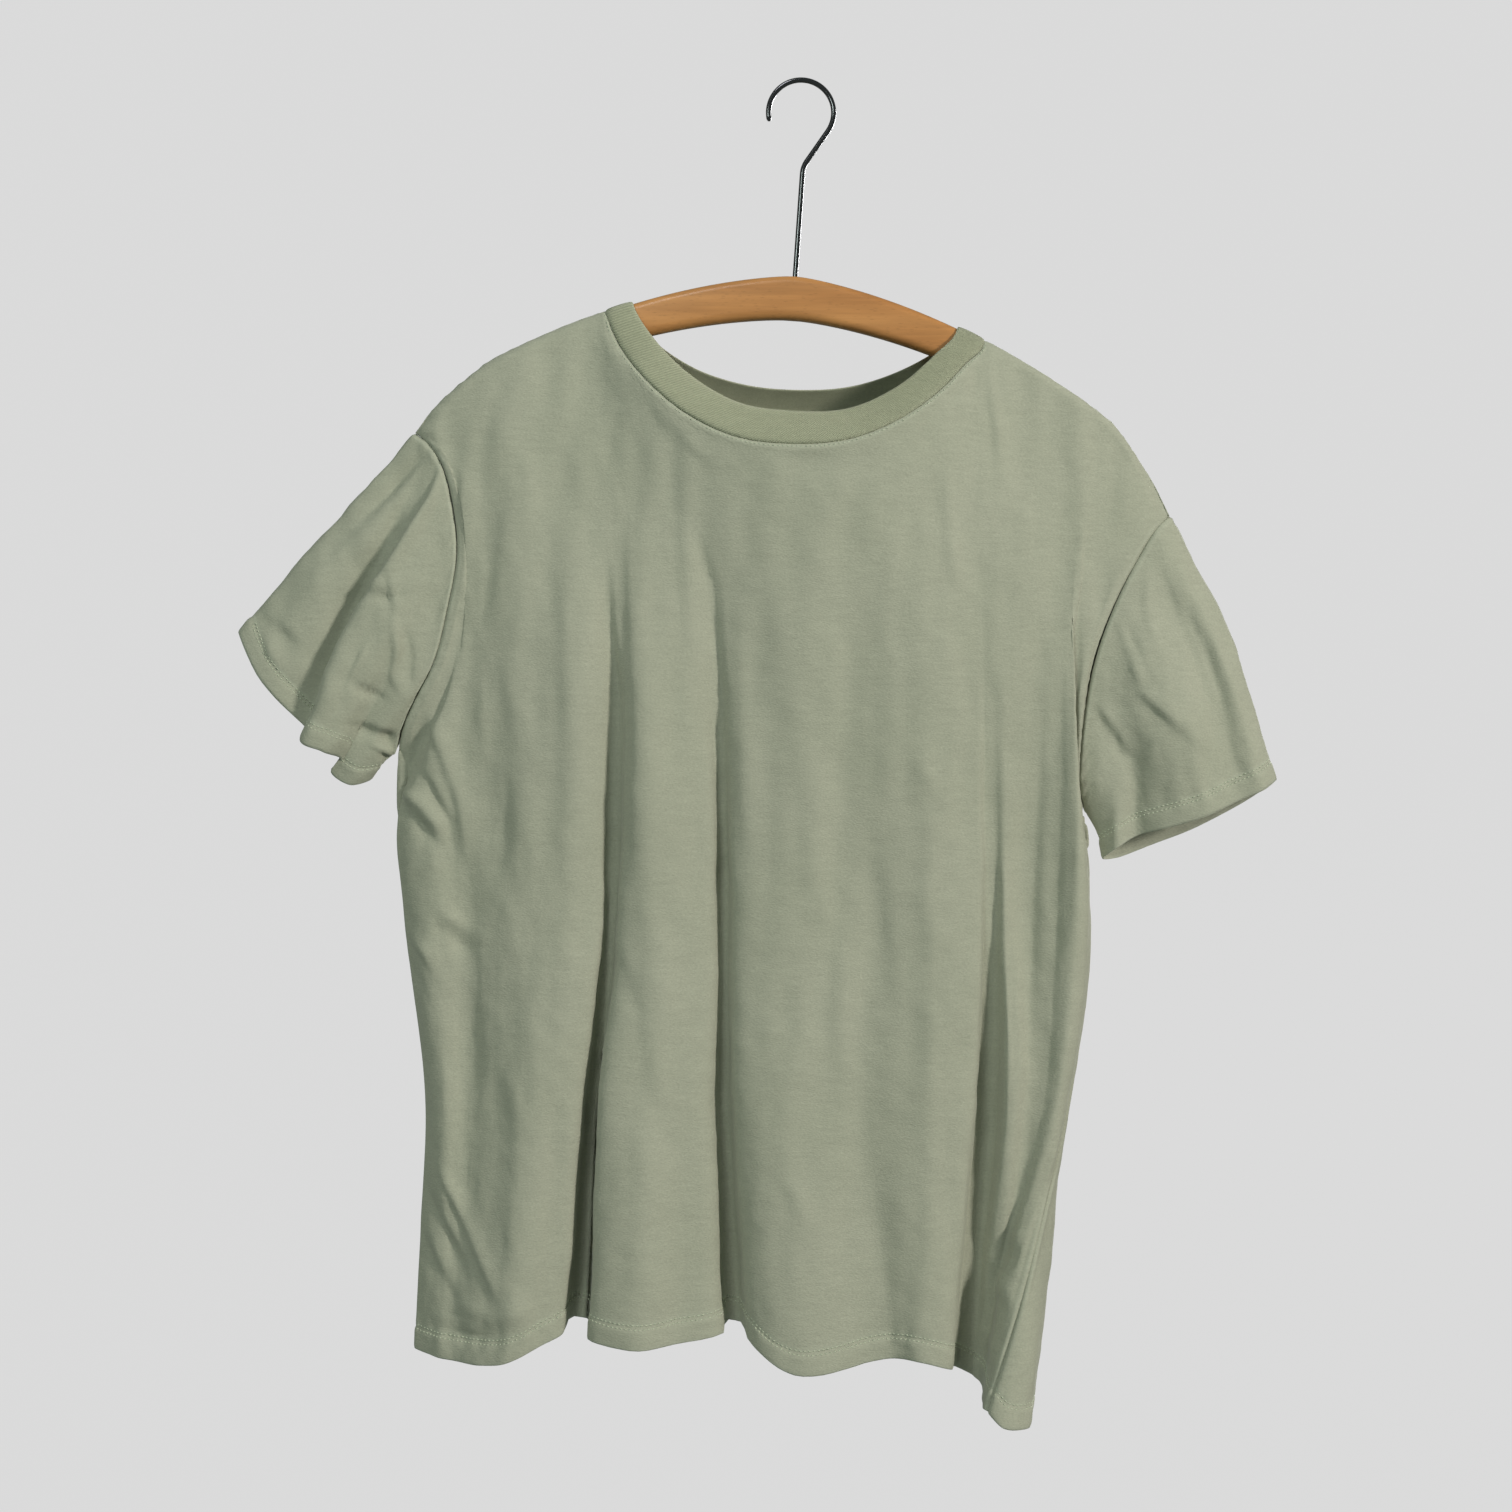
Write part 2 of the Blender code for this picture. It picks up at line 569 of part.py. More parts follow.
def inward(surface, normals, closed):
    """How far each point on an edge moves into its piece, to leave half of a seam's gap."""
    shift = np.zeros_like(surface)
    rows, columns, _ = surface.shape
    for i in range(rows):
        for j in range(columns):
            ways = []
            if i in (0, rows - 1):
                inner = surface[1 if i == 0 else rows - 2, j] - surface[i, j]
                left = surface[i, j - 1] if closed or j > 0 else surface[i, j]
                right = surface[i, (j + 1) % columns] if closed or j < columns - 1 else surface[i, j]
                ways.append(square_to(inner, right - left, normals[i, j]))
            if not closed and j in (0, columns - 1):
                inner = surface[i, 1 if j == 0 else columns - 2] - surface[i, j]
                edge = surface[min(i + 1, rows - 1), j] - surface[max(i - 1, 0), j]
                ways.append(square_to(inner, edge, normals[i, j]))
            if len(ways) == 1:
                shift[i, j] = ways[0]
            if len(ways) == 2:
                shift[i, j] = (ways[0] + ways[1]) / max(MITRE_LIMIT, 1 + ways[0] @ ways[1])
    return shift * SEAM_GAP / 2


def square_to(inner, edge, normal):
    """The direction across an edge, in the cloth's surface, that points into the piece."""
    across = np.cross(normal, edge)
    across /= np.linalg.norm(across)
    return across if across @ inner > 0 else -across


def wall(surface, normals, closed):
    """Points and faces of a closed wall of cloth around a grid of points."""
    rows, columns, _ = surface.shape
    middle = surface + inward(surface, normals, closed)
    points = [*(middle + normals * WALL / 2).reshape(-1, 3), *(middle - normals * WALL / 2).reshape(-1, 3)]
    inside = rows * columns
    faces = []
    for i in range(rows - 1):
        for j in range(columns if closed else columns - 1):
            a = i * columns + j
            b = i * columns + (j + 1) % columns
            faces.append((a, a + columns, b + columns, b))
            faces.append((a + inside, b + inside, b + columns + inside, a + columns + inside))
    edges = []
    for j in range(columns if closed else columns - 1):
        edges.append((j, (j + 1) % columns))
        edges.append(((rows - 1) * columns + (j + 1) % columns, (rows - 1) * columns + j))
    if not closed:
        for i in range(rows - 1):
            edges.append(((i + 1) * columns, i * columns))
            edges.append(((i + 1) * columns - 1, (i + 2) * columns - 1))
    # Both pieces on a seam split the faces of their edges the same way, so a twist opens no overlap.
    flat = surface.reshape(-1, 3).round(4).tolist()
    for a, b in edges:
        if flat[a] < flat[b]:
            faces += [(a, b, b + inside), (a, b + inside, a + inside)]
        else:
            faces += [(a, b, a + inside), (b, b + inside, a + inside)]
    return points, faces


def material(name, colour, roughness, metallic=0.0):
    made = bpy.data.materials.new(name)
    made.use_nodes = True
    shader = made.node_tree.nodes["Principled BSDF"]
    shader.inputs["Base Color"].default_value = (*colour, 1)
    shader.inputs["Roughness"].default_value = roughness
    shader.inputs["Metallic"].default_value = metallic
    made.diffuse_color = (*colour, 1)
    return made


def add_mesh(name, points, faces, finish):
    """A closed mesh from points in millimetres, its faces turned outwards."""
    mesh = bpy.data.meshes.new(name)
    built = bmesh.new()
    corners = [built.verts.new(np.asarray(point) * MM) for point in points]
    for face in faces:
        built.faces.new([corners[k] for k in face])
    bmesh.ops.recalc_face_normals(built, faces=built.faces)
    built.to_mesh(mesh)
    built.free()
    mesh.materials.append(finish)
    mesh.shade_smooth()
    made = bpy.data.objects.new(name, mesh)
    bpy.context.collection.objects.link(made)
    return made


def make_cloth():
    """The front, back, both sleeves and the neckband."""
    grids = {
        "front": (body_panel(1), False, SAGE_FRONT),
        "back": (body_panel(-1), False, SAGE_BACK),
        "sleeve_left": (sleeve(LEFT_SLEEVE_FOLDS, 1, -1), True, SAGE_SLEEVE),
        "sleeve_right": (sleeve(RIGHT_SLEEVE_FOLDS, 4, 1), True, SAGE_SLEEVE),
        "neckband": (neckband(), True, SAGE_BAND),
    }
    pieces = {}
    for name, (surface, closed, _) in grids.items():
        surface = in_space(surface)
        pieces[name] = (surface, surface_normals(surface, closed), closed)
    share_seam_normals(pieces)
    for name, (surface, normals, closed) in pieces.items():
        points, faces = wall(surface, normals, closed)
        add_mesh(name, points, faces, material(f"cotton {name}", grids[name][2], 0.9))


def make_hanger():
    """The hanger: an upright oval section swept along both arms, with a socket for the hook."""
    half = ARM_THICKNESS / 2
    ends = [(ARM_LENGTH + ARM_TIP * share, math.sqrt(1 - share * share)) for share in ARM_END_SHARES]
    straight_part = ARM_LENGTH // ARM_STEP * ARM_STEP
    places = [(-s, size) for s, size in reversed(ends)]
    places += [(s, 1.0) for s in np.arange(-straight_part, straight_part + 1, ARM_STEP)] + ends
    rings = []
    for s, size in places:
        height = ARM_HEIGHT_MIDDLE + (ARM_HEIGHT_END - ARM_HEIGHT_MIDDLE) * abs(s) / ARM_LENGTH
        middle = HANGER_TOP - arm_drop(s) - height / 2
        ring = []
        for turn in (np.arange(ARM_SIDES) + 0.5) * math.tau / ARM_SIDES:
            straight = math.copysign(height / 2 - half, math.sin(turn))
            x, z = tilted(STEM_X + s, middle + size * (straight + half * math.sin(turn)))
            ring.append((x, size * half * math.cos(turn), z))
        rings.append(ring)
    count = len(rings[0])
    points = [point for ring in rings for point in ring]
    faces = [
        (i * count + j, i * count + (j + 1) % count, (i + 1) * count + (j + 1) % count, (i + 1) * count + j)
        for i in range(len(rings) - 1)
        for j in range(count)
    ]
    faces += [tuple(range(count)), tuple(range(len(points) - count, len(points)))]
    hanger = add_mesh("hanger", points, faces, material("beech", WOOD, 0.45))

    x, z = tilted(STEM_X, HANGER_TOP)
    bpy.ops.mesh.primitive_cylinder_add(
        vertices=ARM_SIDES,
        radius=(WIRE_RADIUS + SOCKET_CLEARANCE) * MM,
        depth=2 * HOOK_SOCKET_DEPTH * MM,
        location=(x * MM, 0, z * MM),
        rotation=(0, HANGER_TILT, 0),
    )
    socket = bpy.context.object
    socket.name = "hook_socket"
    socket.display_type = "WIRE"
    socket.hide_render = True
    cut = hanger.modifiers.new("hook socket", "BOOLEAN")
    cut.operation = "DIFFERENCE"
    cut.object = socket


def make_hook():
    """The wire hook: an arc, a slant, a bend and a stem that stands in the hanger's socket."""
    radius = HOOK_INSIDE + WIRE_RADIUS
    line = []
    for turn in np.radians(np.linspace(HOOK_TIP_TURN, HOOK_END_TURN, HOOK_POINTS)):
        line.append((radius * math.cos(turn), radius * math.sin(turn) - HOOK_INSIDE))
    lean = math.radians(90 + HOOK_END_TURN)
    x, z = line[-1]
    x -= HOOK_DIAGONAL * math.cos(lean)
    z -= HOOK_DIAGONAL * math.sin(lean)
    # The bend eases the slant into the stem, whose line it meets in the hanger's middle.
    bend = math.pi / 2 - lean
    for share in BEND_SHARES:
        turn = bend * share
        reach = (x - STEM_X) / (1 - math.cos(bend)) * (math.cos(bend - turn) - math.cos(bend))
        drop = HOOK_BEND_RADIUS * (math.sin(bend) - math.sin(bend - turn))
        line.append((x - reach, z - drop))
    line.append((STEM_X, HANGER_TOP - HOOK_SOCKET_DEPTH + SOCKET_CLEARANCE))

    curve = bpy.data.curves.new("hook", "CURVE")
    curve.dimensions = "3D"
    curve.bevel_depth = WIRE_RADIUS * MM
    curve.bevel_resolution = 3
    curve.use_fill_caps = True
    spline = curve.splines.new("POLY")
    spline.points.add(len(line) - 1)
    for point, place in zip(spline.points, line):
        x, z = tilted(*place)
        point.co = (x * MM, 0, z * MM, 1)
    spline.points[0].radius = HOOK_TIP_TAPER
    curve.materials.append(material("dark chrome", DARK_CHROME, 0.2, 1.0))
    hook = bpy.data.objects.new("hook", curve)
    bpy.context.collection.objects.link(hook)


for old in list(bpy.data.objects):
    bpy.data.objects.remove(old)
make_cloth()
make_hanger()
make_hook()
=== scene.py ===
import math
from collections import namedtuple

import bmesh
import bpy
import numpy as np
from mathutils import Matrix, Vector, noise


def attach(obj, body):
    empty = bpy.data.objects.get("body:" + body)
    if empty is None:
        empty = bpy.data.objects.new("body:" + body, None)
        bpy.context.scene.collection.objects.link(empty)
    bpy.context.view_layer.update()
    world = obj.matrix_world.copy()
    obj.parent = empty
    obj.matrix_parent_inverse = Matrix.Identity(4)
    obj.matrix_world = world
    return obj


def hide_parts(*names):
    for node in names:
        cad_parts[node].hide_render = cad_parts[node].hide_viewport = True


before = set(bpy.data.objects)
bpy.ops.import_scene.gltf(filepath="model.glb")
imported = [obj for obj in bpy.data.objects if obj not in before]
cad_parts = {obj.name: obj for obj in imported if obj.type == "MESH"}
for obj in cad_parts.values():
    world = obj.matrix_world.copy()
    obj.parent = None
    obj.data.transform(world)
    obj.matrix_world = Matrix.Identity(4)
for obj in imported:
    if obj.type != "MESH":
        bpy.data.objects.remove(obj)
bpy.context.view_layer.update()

MM = 0.001

# The front panel: one piece of washed cotton jersey from the shoulders to the hem, sewn to the
# back at the shoulders and sides. Sizes are in millimetres as x, out of the front, and z.
# A row of a table is one fold line: it starts on a seam and runs down to the hem.
CLOTH = 1.0
FINE_COLUMN = 4.4
SEAM_STAND = 7.0
UNDERARM_SHARE = 0.6
YOKE_SHARE = 0.45
SWING_START = 0.8
LANE_SLOPE = 0.35
LANE_SHARE = 0.27
SHOULDER_EASE = 30.0
SHOULDER_LEAN = 1.9
MIDDLE_X = -5.0
CHEST_Z = -545.0
WAIST_Z = -680.0
CURVE_SAMPLES = 400
ROLL_ROWS = 8
HANGER_TILT = math.radians(4.0)
STEM_X = 3.7
HANGER_TOP = -128.2
ARM_LENGTH = 196.0
ARM_THICKNESS = 12.0
ARM_HEIGHT_MIDDLE = 29.0
ARM_HEIGHT_END = 20.0
ARM_TIP = 5.5
ARM_SLOPE = 0.12
ARM_BEND = 0.00125
ARM_PEAK = 8.0
CLOTH_ON_ARM = ARM_THICKNESS / 2 + 1.5
DROOP_RADIUS = 6.0
DROOP_LENGTH = 30.0
HOOK_INSIDE = 19.8

Fold = namedtuple(
    "Fold",
    "seam yoke_x yoke_out chest_x chest_out waist_x waist_out hem_x hem_out hem_z bow_x bow_out",
    defaults=(0, 0),
)
SleeveFold = namedtuple("SleeveFold", "seam mid_x mid_out mid_z cuff_x cuff_out cuff_z")
# Halfway between waist and hem a fold bows from the straight line by bow_x and bow_out.
# A place on the seams along a panel's top: 0 is the left underarm, 1 the left shoulder point,
# 2 the left of the neck, 3 its right, 4 the right shoulder point and 5 the right underarm.
FRONT_FOLDS = tuple(Fold(*row) for row in (
    (0.00, -266, 0, -262, 0, -247, 0, -254, 4, -832),
    (0.38, -243, 14.5, -243, 15, -233, 17, -236, 19, -835),
    (0.72, -219, 17, -216, 15, -218, 17, -222, 26, -836),
    (1.00, -208, 20, -198, 21, -201, 25, -207, 32, -836),
    (1.40, -182, 27, -174, 28, -180, 35, -190, 39, -833),
    (1.70, -150, 29, -147, 29, -160, 33, -170, 34, -824),
    (1.92, -131, 27, -129.5, 23, -144, 26, -153.5, 27, -817),
    (2.00, -122, 26, -126.5, 13, -141.5, 6, -150, 5, -812),
    (2.035, -118.5, 26.5, -121.5, 14, -133.5, 6, -139.5, 6, -813),
    (2.08, -113, 28, -117, 27, -130, 33, -136, 36, -818),
    (2.17, -101, 32, -98, 36, -103.5, 42, -110, 47, -822),
    (2.24, -80, 30, -75, 31, -80, 34, -82, 38, -821),
    (2.29, -66, 26, -56, 22, -57.5, 24, -52, 26, -817),
    (2.32, -58, 25, -52.5, 11, -53.5, 7, -48, 6, -814),
    (2.34, -53, 25, -48.5, 11, -48, 7, -39.5, 8, -815),
    (2.365, -47, 27, -44, 23, -44, 26, -36, 28, -820),
    (2.515, -4, 35, -2, 32, -8, 38, -5, 44, -839),
    (2.645, 38, 33, 38, 27, 40, 30, 57, 30, -832),
    (2.79, 80, 33, 82, 32, 82, 36, 79, 38, -833),
    (2.92, 112, 27.5, 115, 26, 109, 26, 96, 28, -840),
    (2.965, 118, 26, 119, 18, 114, 8, 101, 2, -846),
    (3.00, 123, 26, 127, 17, 127, 7, 112.5, -5, -853),
    (3.08, 131, 26, 131, 22, 131.5, 24, 116, -4, -855),
    (3.30, 150, 22, 146, 17, 145, 18, 119, 4, -857),
    (3.62, 173, 22, 166, 19, 155, 19, 119, 16, -860, -3, -2),
    (4.00, 177, 23, 178, 24, 163, 23, 118, 26, -861, -5, -2),
    (4.45, 177, 18, 185, 19, 168.5, 19, 117.3, 33, -862, -3, 1),
    (4.75, 180, 12, 188, 12, 171, 14, 116.2, 38, -862, 0, 2),
    (5.00, 188.5, 2, 189, 4, 173, 9, 117.5, 43.5, -862, 3, 3),
))
BACK_FOLDS = tuple(Fold(*row) for row in (
    (0.40, -243, -12, -244, -14, -230, -16, -238, -18, -828),
    (0.75, -222, -17, -222, -24, -216, -28, -222, -32, -824),
    (1.00, -208, -22, -200, -30, -195, -34, -201, -38, -822),
    (1.45, -168, -26, -165, -20, -160, -16, -164, -14, -812),
    (2.00, -122, -31, -122, -34, -120, -39, -122, -45, -824),
    (2.25, -80, -34, -79, -26, -78, -20, -80, -15, -815),
    (2.50, -22, -39, -24, -36, -24, -40, -22, -46, -828),
    (2.72, 30, -37, 26, -28, 24, -21, 24, -15, -822),
    (2.88, 74, -36, 70, -35, 67, -39, 66, -46, -834),
    (3.00, 112, -30, 108, -26, 104, -22, 97, -26, -840),
    (3.50, 158, -27, 152, -31, 142, -33, 128, -38, -850),
    (4.00, 176, -21, 180, -25, 168, -23, 146, -18, -862),
    (4.40, 177, -17, 188, -16, 175, -14, 149.5, 8, -872, 2, 2),
    (4.72, 180, -13, 190, -9, 176.5, -5, 142, 40, -874),
    (4.90, 185, -6, 190, -2, 175.8, 3, 126, 50, -870),
))

# On a sleeve's ring 0 is the shoulder point, 1 the underarm by way of the front, 2 is back at 0.
LEFT_SLEEVE_FOLDS = tuple(SleeveFold(*row) for row in (
    (0.00, -313, 1, -297.5, -370, 0, -366),
    (0.03, -304, 9, -306, -357, 8, -391),
    (0.06, -294, 9, -317, -341, 9, -410),
    (0.09, -285, 5, -328, -325, 6, -426),
    (0.13, -282, 14, -335, -326, 16, -432),
    (0.28, -266, 22, -352, -312, 21, -441),
    (0.45, -261, 17, -378, -302, 9, -446),
    (0.60, -268, 15, -402, -309, 5, -454),
    (0.80, -274, 12, -430, -297, 5, -463),
    (1.00, -277, 0, -450, -285, -2, -460),
    (1.25, -281, -14, -425, -296, -15, -458),
    (1.50, -284, -19, -392, -311, -20, -442),
    (1.75, -292, -17, -345, -335, -17, -414),
    (1.92, -305, -9, -310, -358, -9, -384),
))
RIGHT_SLEEVE_FOLDS = tuple(SleeveFold(*row) for row in (
    (0.00, 282, 1, -366, 313, 0, -460),
    (0.07, 272, 12, -368, 303, 11, -466),
    (0.17, 262, 10, -374, 287, 12, -473),
    (0.36, 240, 22, -394, 262, 18, -484),
    (0.55, 222, 20, -418, 236, 13, -492),
    (0.72, 211, 11, -440, 220, 4, -497),
    (0.88, 200, 10, -468, 206, 9, -505),
    (1.00, 197, 0, -494, 200, -1, -511),
    (1.20, 204, -13, -470, 210, -11, -512),
    (1.45, 222, -18, -430, 236, -17, -503),
    (1.70, 250, -17, -395, 268, -16, -490),
    (1.90, 274, -9, -370, 302, -9, -470),
))

# Seams: x, out at the front, out at the back, z
LEFT_ARMHOLE = (
    (-266, 0, 0, -440),
    (-262, 7, -7, -426),
    (-253, 12, -11, -407),
    (-241, 15, -14, -385),
    (-231, 16, -15, -348),
    (-225, 15, -15, -308),
    (-228, 13, -14, -282),
    (-237, 10, -11, -251),
    (-246, 6, -6, -238),
    (-254.8, 0, 0, -231),
)
RIGHT_ARMHOLE = (
    (243.5, 0, 0, -285.8),
    (236, 6, -6, -292),
    (220, 12, -12, -316),
    (203.5, 14, -14, -348),
    (191, 13, -15, -384),
    (186, 12, -15, -410),
    (182.5, 10, -13, -440),
    (182, 7, -8, -462),
    (186, 0, 0, -478),
)
LEFT_DROOP = ((-254.8, -231), (-241.6, -213.2), (-228, -201.5), (-218.5, -194.5))
RIGHT_DROOP = ((196, -217.8), (203, -223), (213.8, -236.3), (230.3, -259.4), (243.5, -285.8))
LEFT_ARM_PLACES = (-206, -198, -187, -170, -150)
RIGHT_ARM_PLACES = (140, 160, 175, 184)
NECK_ROLL_SHARES = (0.011, 0.022, 0.033)
NECK_ROLL = ((0, 0), (1, 45), (2.5, 85))
NECK_LEFT_X = -129.4
NECK_RIGHT_X = 121.4
BAND_LEFT_X = -111.5
BAND_RIGHT_X = 103.6

# Neckline: x, out, z between the two arms of the hanger, left to right
FRONT_NECK_SEAM = (
    (-118.6, 13, -175.7),
    (-105, 22, -195.1),
    (-72.2, 32, -224.7),
    (-40, 37, -239.7),
    (-8, 38, -243.7),
    (30.5, 37, -240.4),
    (62.9, 32, -226.7),
    (92.9, 22, -203.5),
    (107.6, 14, -187.2),
)
FRONT_BAND_TOP = (
    (-95.7, 14, -172.6),
    (-72.5, 22, -197),
    (-40.1, 27, -216.3),
    (-7.8, 29, -221.7),
    (30.9, 27, -219.6),
    (63.7, 22, -203.5),
    (87.2, 14, -182.2),
)
BACK_NECK_SEAM = (
    (-121, -13, -167),
    (-106, -25, -181),
    (-76, -36, -197),
    (-41, -41, -207),
    (-1, -42.5, -211),
    (38, -41.5, -209.5),
    (72, -36, -201),
    (99, -25, -189),
    (113, -13, -180),
)
BACK_BAND_TOP = (
    (-103, -13, -161),
    (-74, -25, -182),
    (-40.5, -30, -193),
    (-0.2, -31, -197.1),
    (33.4, -30, -195.1),
    (66.8, -25, -185.4),
    (89.7, -15, -174.6),
)


def smooth(knots, points, places):
    """Points of a smooth curve through the given ones, which lie at the knots."""
    knots = np.asarray(knots, float)
    points = np.asarray(points, float)
    places = np.asarray(places, float)
    step = np.diff(knots)[:, None]
    slope = np.diff(points, axis=0) / step
    turn = (slope[:-1] * step[1:] + slope[1:] * step[:-1]) / (step[:-1] + step[1:])
    tangent = np.vstack([slope[:1], turn, slope[-1:]])
    span = np.clip(np.searchsorted(knots, places, side="right") - 1, 0, len(step) - 1)
    width = step[span]
    t = ((places - knots[span])[:, None]) / width
    start = (2 * t**3 - 3 * t**2 + 1) * points[span]
    leave = (t**3 - 2 * t**2 + t) * width * tangent[span]
    end = (3 * t**2 - 2 * t**3) * points[span + 1]
    arrive = (t**3 - t**2) * width * tangent[span + 1]
    return start + leave + end + arrive


def smooth_loop(knots, points, length, places):
    """The same for a closed loop of the given length in knots."""
    knots = np.asarray(knots, float)
    points = np.asarray(points, float)
    around = np.concatenate([knots[-3:] - length, knots, knots[:3] + length])
    padded = np.vstack([points[-3:], points, points[:3]])
    return smooth(around, padded, np.asarray(places, float))


def along(points, shares):
    """Points of the smooth curve through these, at the given shares of its length."""
    points = np.asarray(points, float)
    knots = np.append(0, np.cumsum(np.linalg.norm(np.diff(points, axis=0), axis=1)))
    places = np.linspace(0, knots[-1], CURVE_SAMPLES)
    fine = smooth(knots, points, places)
    length = np.append(0, np.cumsum(np.linalg.norm(np.diff(fine, axis=0), axis=1)))
    return smooth(knots, points, np.interp(np.asarray(shares) * length[-1], length, places))


def tilted(x, z):
    """A point of the hanger's own frame, turned with the tilt about the middle of the hook."""
    z = z + HOOK_INSIDE
    turned_x = x * math.cos(HANGER_TILT) + z * math.sin(HANGER_TILT)
    turned_z = z * math.cos(HANGER_TILT) - x * math.sin(HANGER_TILT)
    return turned_x, turned_z - HOOK_INSIDE


def arm_drop(s):
    """How far the hanger's top lies under its peak, at a distance from the middle."""
    rounded = math.hypot(s, ARM_PEAK) - ARM_PEAK
    return ARM_SLOPE * rounded + ARM_BEND * s * s


def cloth_over_arm(x, turn):
    """A point of the cloth lying over the hanger: turn 0 is on top, 90 in front, -90 behind."""
    reach = np.linspace(-ARM_LENGTH - 2 * ARM_TIP, ARM_LENGTH + 2 * ARM_TIP, CURVE_SAMPLES)
    top = [tilted(STEM_X + s, HANGER_TOP - arm_drop(s)) for s in reach]
    middle = np.interp(x, *zip(*top)) - ARM_THICKNESS / 2
    turn = math.radians(turn)
    return x, CLOTH_ON_ARM * math.sin(turn), middle + CLOTH_ON_ARM * math.cos(turn)


def neckline(left_x, points, right_x, side):
    """A line around half the neck, rolled over both arms; side is 1 in front, -1 behind."""
    left = [cloth_over_arm(left_x + lean, side * turn) for lean, turn in NECK_ROLL]
    right = [cloth_over_arm(right_x - lean, side * turn) for lean, turn in reversed(NECK_ROLL)]
    return left + list(points) + right


def top_lines(side):
    """The five seams along the top of a panel, left to right, as lines of x, out, z."""
    column = 1 if side > 0 else 2
    left_arm = [cloth_over_arm(x, 0) for x in (*LEFT_ARM_PLACES, NECK_LEFT_X)]
    right_arm = [cloth_over_arm(x, 0) for x in (NECK_RIGHT_X, *RIGHT_ARM_PLACES)]
    return (
        [(row[0], row[column], row[3]) for row in LEFT_ARMHOLE],
        [(x, 0, z) for x, z in LEFT_DROOP] + left_arm,
        neckline(NECK_LEFT_X, FRONT_NECK_SEAM if side > 0 else BACK_NECK_SEAM, NECK_RIGHT_X, side),
        right_arm + [(x, 0, z) for x, z in RIGHT_DROOP],
        [(row[0], row[column], row[3]) for row in RIGHT_ARMHOLE],
    )


def on_top(side, seams):
    """Points on the seams along a panel's top, at places counted as in the fold tables."""
    seams = np.asarray(seams, float)
    found = np.zeros((len(seams), 3))
    for number, line in enumerate(top_lines(side)):
        here = (seams >= number) & (seams <= number + 1)
        if here.any():
            found[here] = along(line, seams[here] - number)
    return found


def section_ring():
    """Fold rows all round the body, with how far round each lies and which half it is on."""
    rows = [(fold, 1) for fold in FRONT_FOLDS] + [(fold, -1) for fold in reversed(BACK_FOLDS)]
    table = np.array([fold for fold, _ in rows])
    gaps = []
    for column in map(Fold._fields.index, ("chest_x", "waist_x", "hem_x")):
        section = table[:, column:column + 2]
        gaps.append(np.linalg.norm(np.roll(section, -1, axis=0) - section, axis=1))
    gaps = np.mean(gaps, axis=0)
    return rows, np.append(0, np.cumsum(gaps[:-1])), gaps.sum()


def low_section(fold):
    """A fold's place halfway between waist and hem."""
    return (
        (fold.waist_x + fold.hem_x) / 2 + fold.bow_x,
        (fold.waist_out + fold.hem_out) / 2 + fold.bow_out,
        (WAIST_Z + fold.hem_z) / 2,
    )


def yoke_z(fold, side):
    """The height at which a fold line crosses the yoke section."""
    top = on_top(side, [fold.seam])[0, 2]
    return top + YOKE_SHARE * (CHEST_Z - top)


def body_sections(places):
    """The yoke, chest, waist, low and hem sections, read at places around the body."""
    rows, knots, length = section_ring()
    stations = (
        [(fold.yoke_x, fold.yoke_out, yoke_z(fold, side)) for fold, side in rows],
        [(fold.chest_x, fold.chest_out, CHEST_Z) for fold, _ in rows],
        [(fold.waist_x, fold.waist_out, WAIST_Z) for fold, _ in rows],
        [low_section(fold) for fold, _ in rows],
        [(fold.hem_x, fold.hem_out, fold.hem_z) for fold, _ in rows],
    )
    return [smooth_loop(knots, station, length, places) for station in stations]


def on_shoulder(seam):
    """Whether a place on the top seams is on one of the two shoulder seams."""
    return 1 <= seam < 2 or 3 <= seam < 4


def panel_seams(side):
    """Where the columns of a panel start: at each fold of it and of the sleeves, and between."""
    shoulders = {fold.seam for fold in FRONT_FOLDS + BACK_FOLDS if on_shoulder(fold.seam)}
    stops = {fold.seam for fold in (FRONT_FOLDS if side > 0 else BACK_FOLDS)} | shoulders
    stops |= {0.0, 0.008, 0.018, 1.0, 2.0, 3.0, 4.0, 4.982, 4.992, 5.0}
    for share in NECK_ROLL_SHARES:
        stops |= {2 + share, 3 - share}
    for fold in LEFT_SLEEVE_FOLDS:
        stops.add(round(1 - fold.seam if side > 0 else fold.seam - 1, 4))
    for fold in RIGHT_SLEEVE_FOLDS:
        stops.add(round(4 + fold.seam if side > 0 else 6 - fold.seam, 4))
    stops = sorted(stop for stop in stops if 0 <= stop <= 5)
    points = on_top(side, stops)
    seams = []
    for start, end, gap in zip(stops, stops[1:], np.linalg.norm(np.diff(points, axis=0), axis=1)):
        count = max(1, round(gap / FINE_COLUMN))
        seams += [start + (end - start) * k / count for k in range(count)]
    return np.array([*seams, 5.0])


def around_body(side, seams):
    """How far round the body a panel's columns lie, from where they start on its top."""
    rows, knots, length = section_ring()
    turn = {id(fold): knot for (fold, _), knot in zip(rows, knots)}
    if side > 0:
        return np.interp(seams, [f.seam for f in FRONT_FOLDS], [turn[id(f)] for f in FRONT_FOLDS])
    known = [0.0, *(f.seam for f in BACK_FOLDS), 5.0]
    right_side = turn[id(FRONT_FOLDS[-1])]
    return np.interp(seams, known, [length, *(turn[id(f)] for f in BACK_FOLDS), right_side])


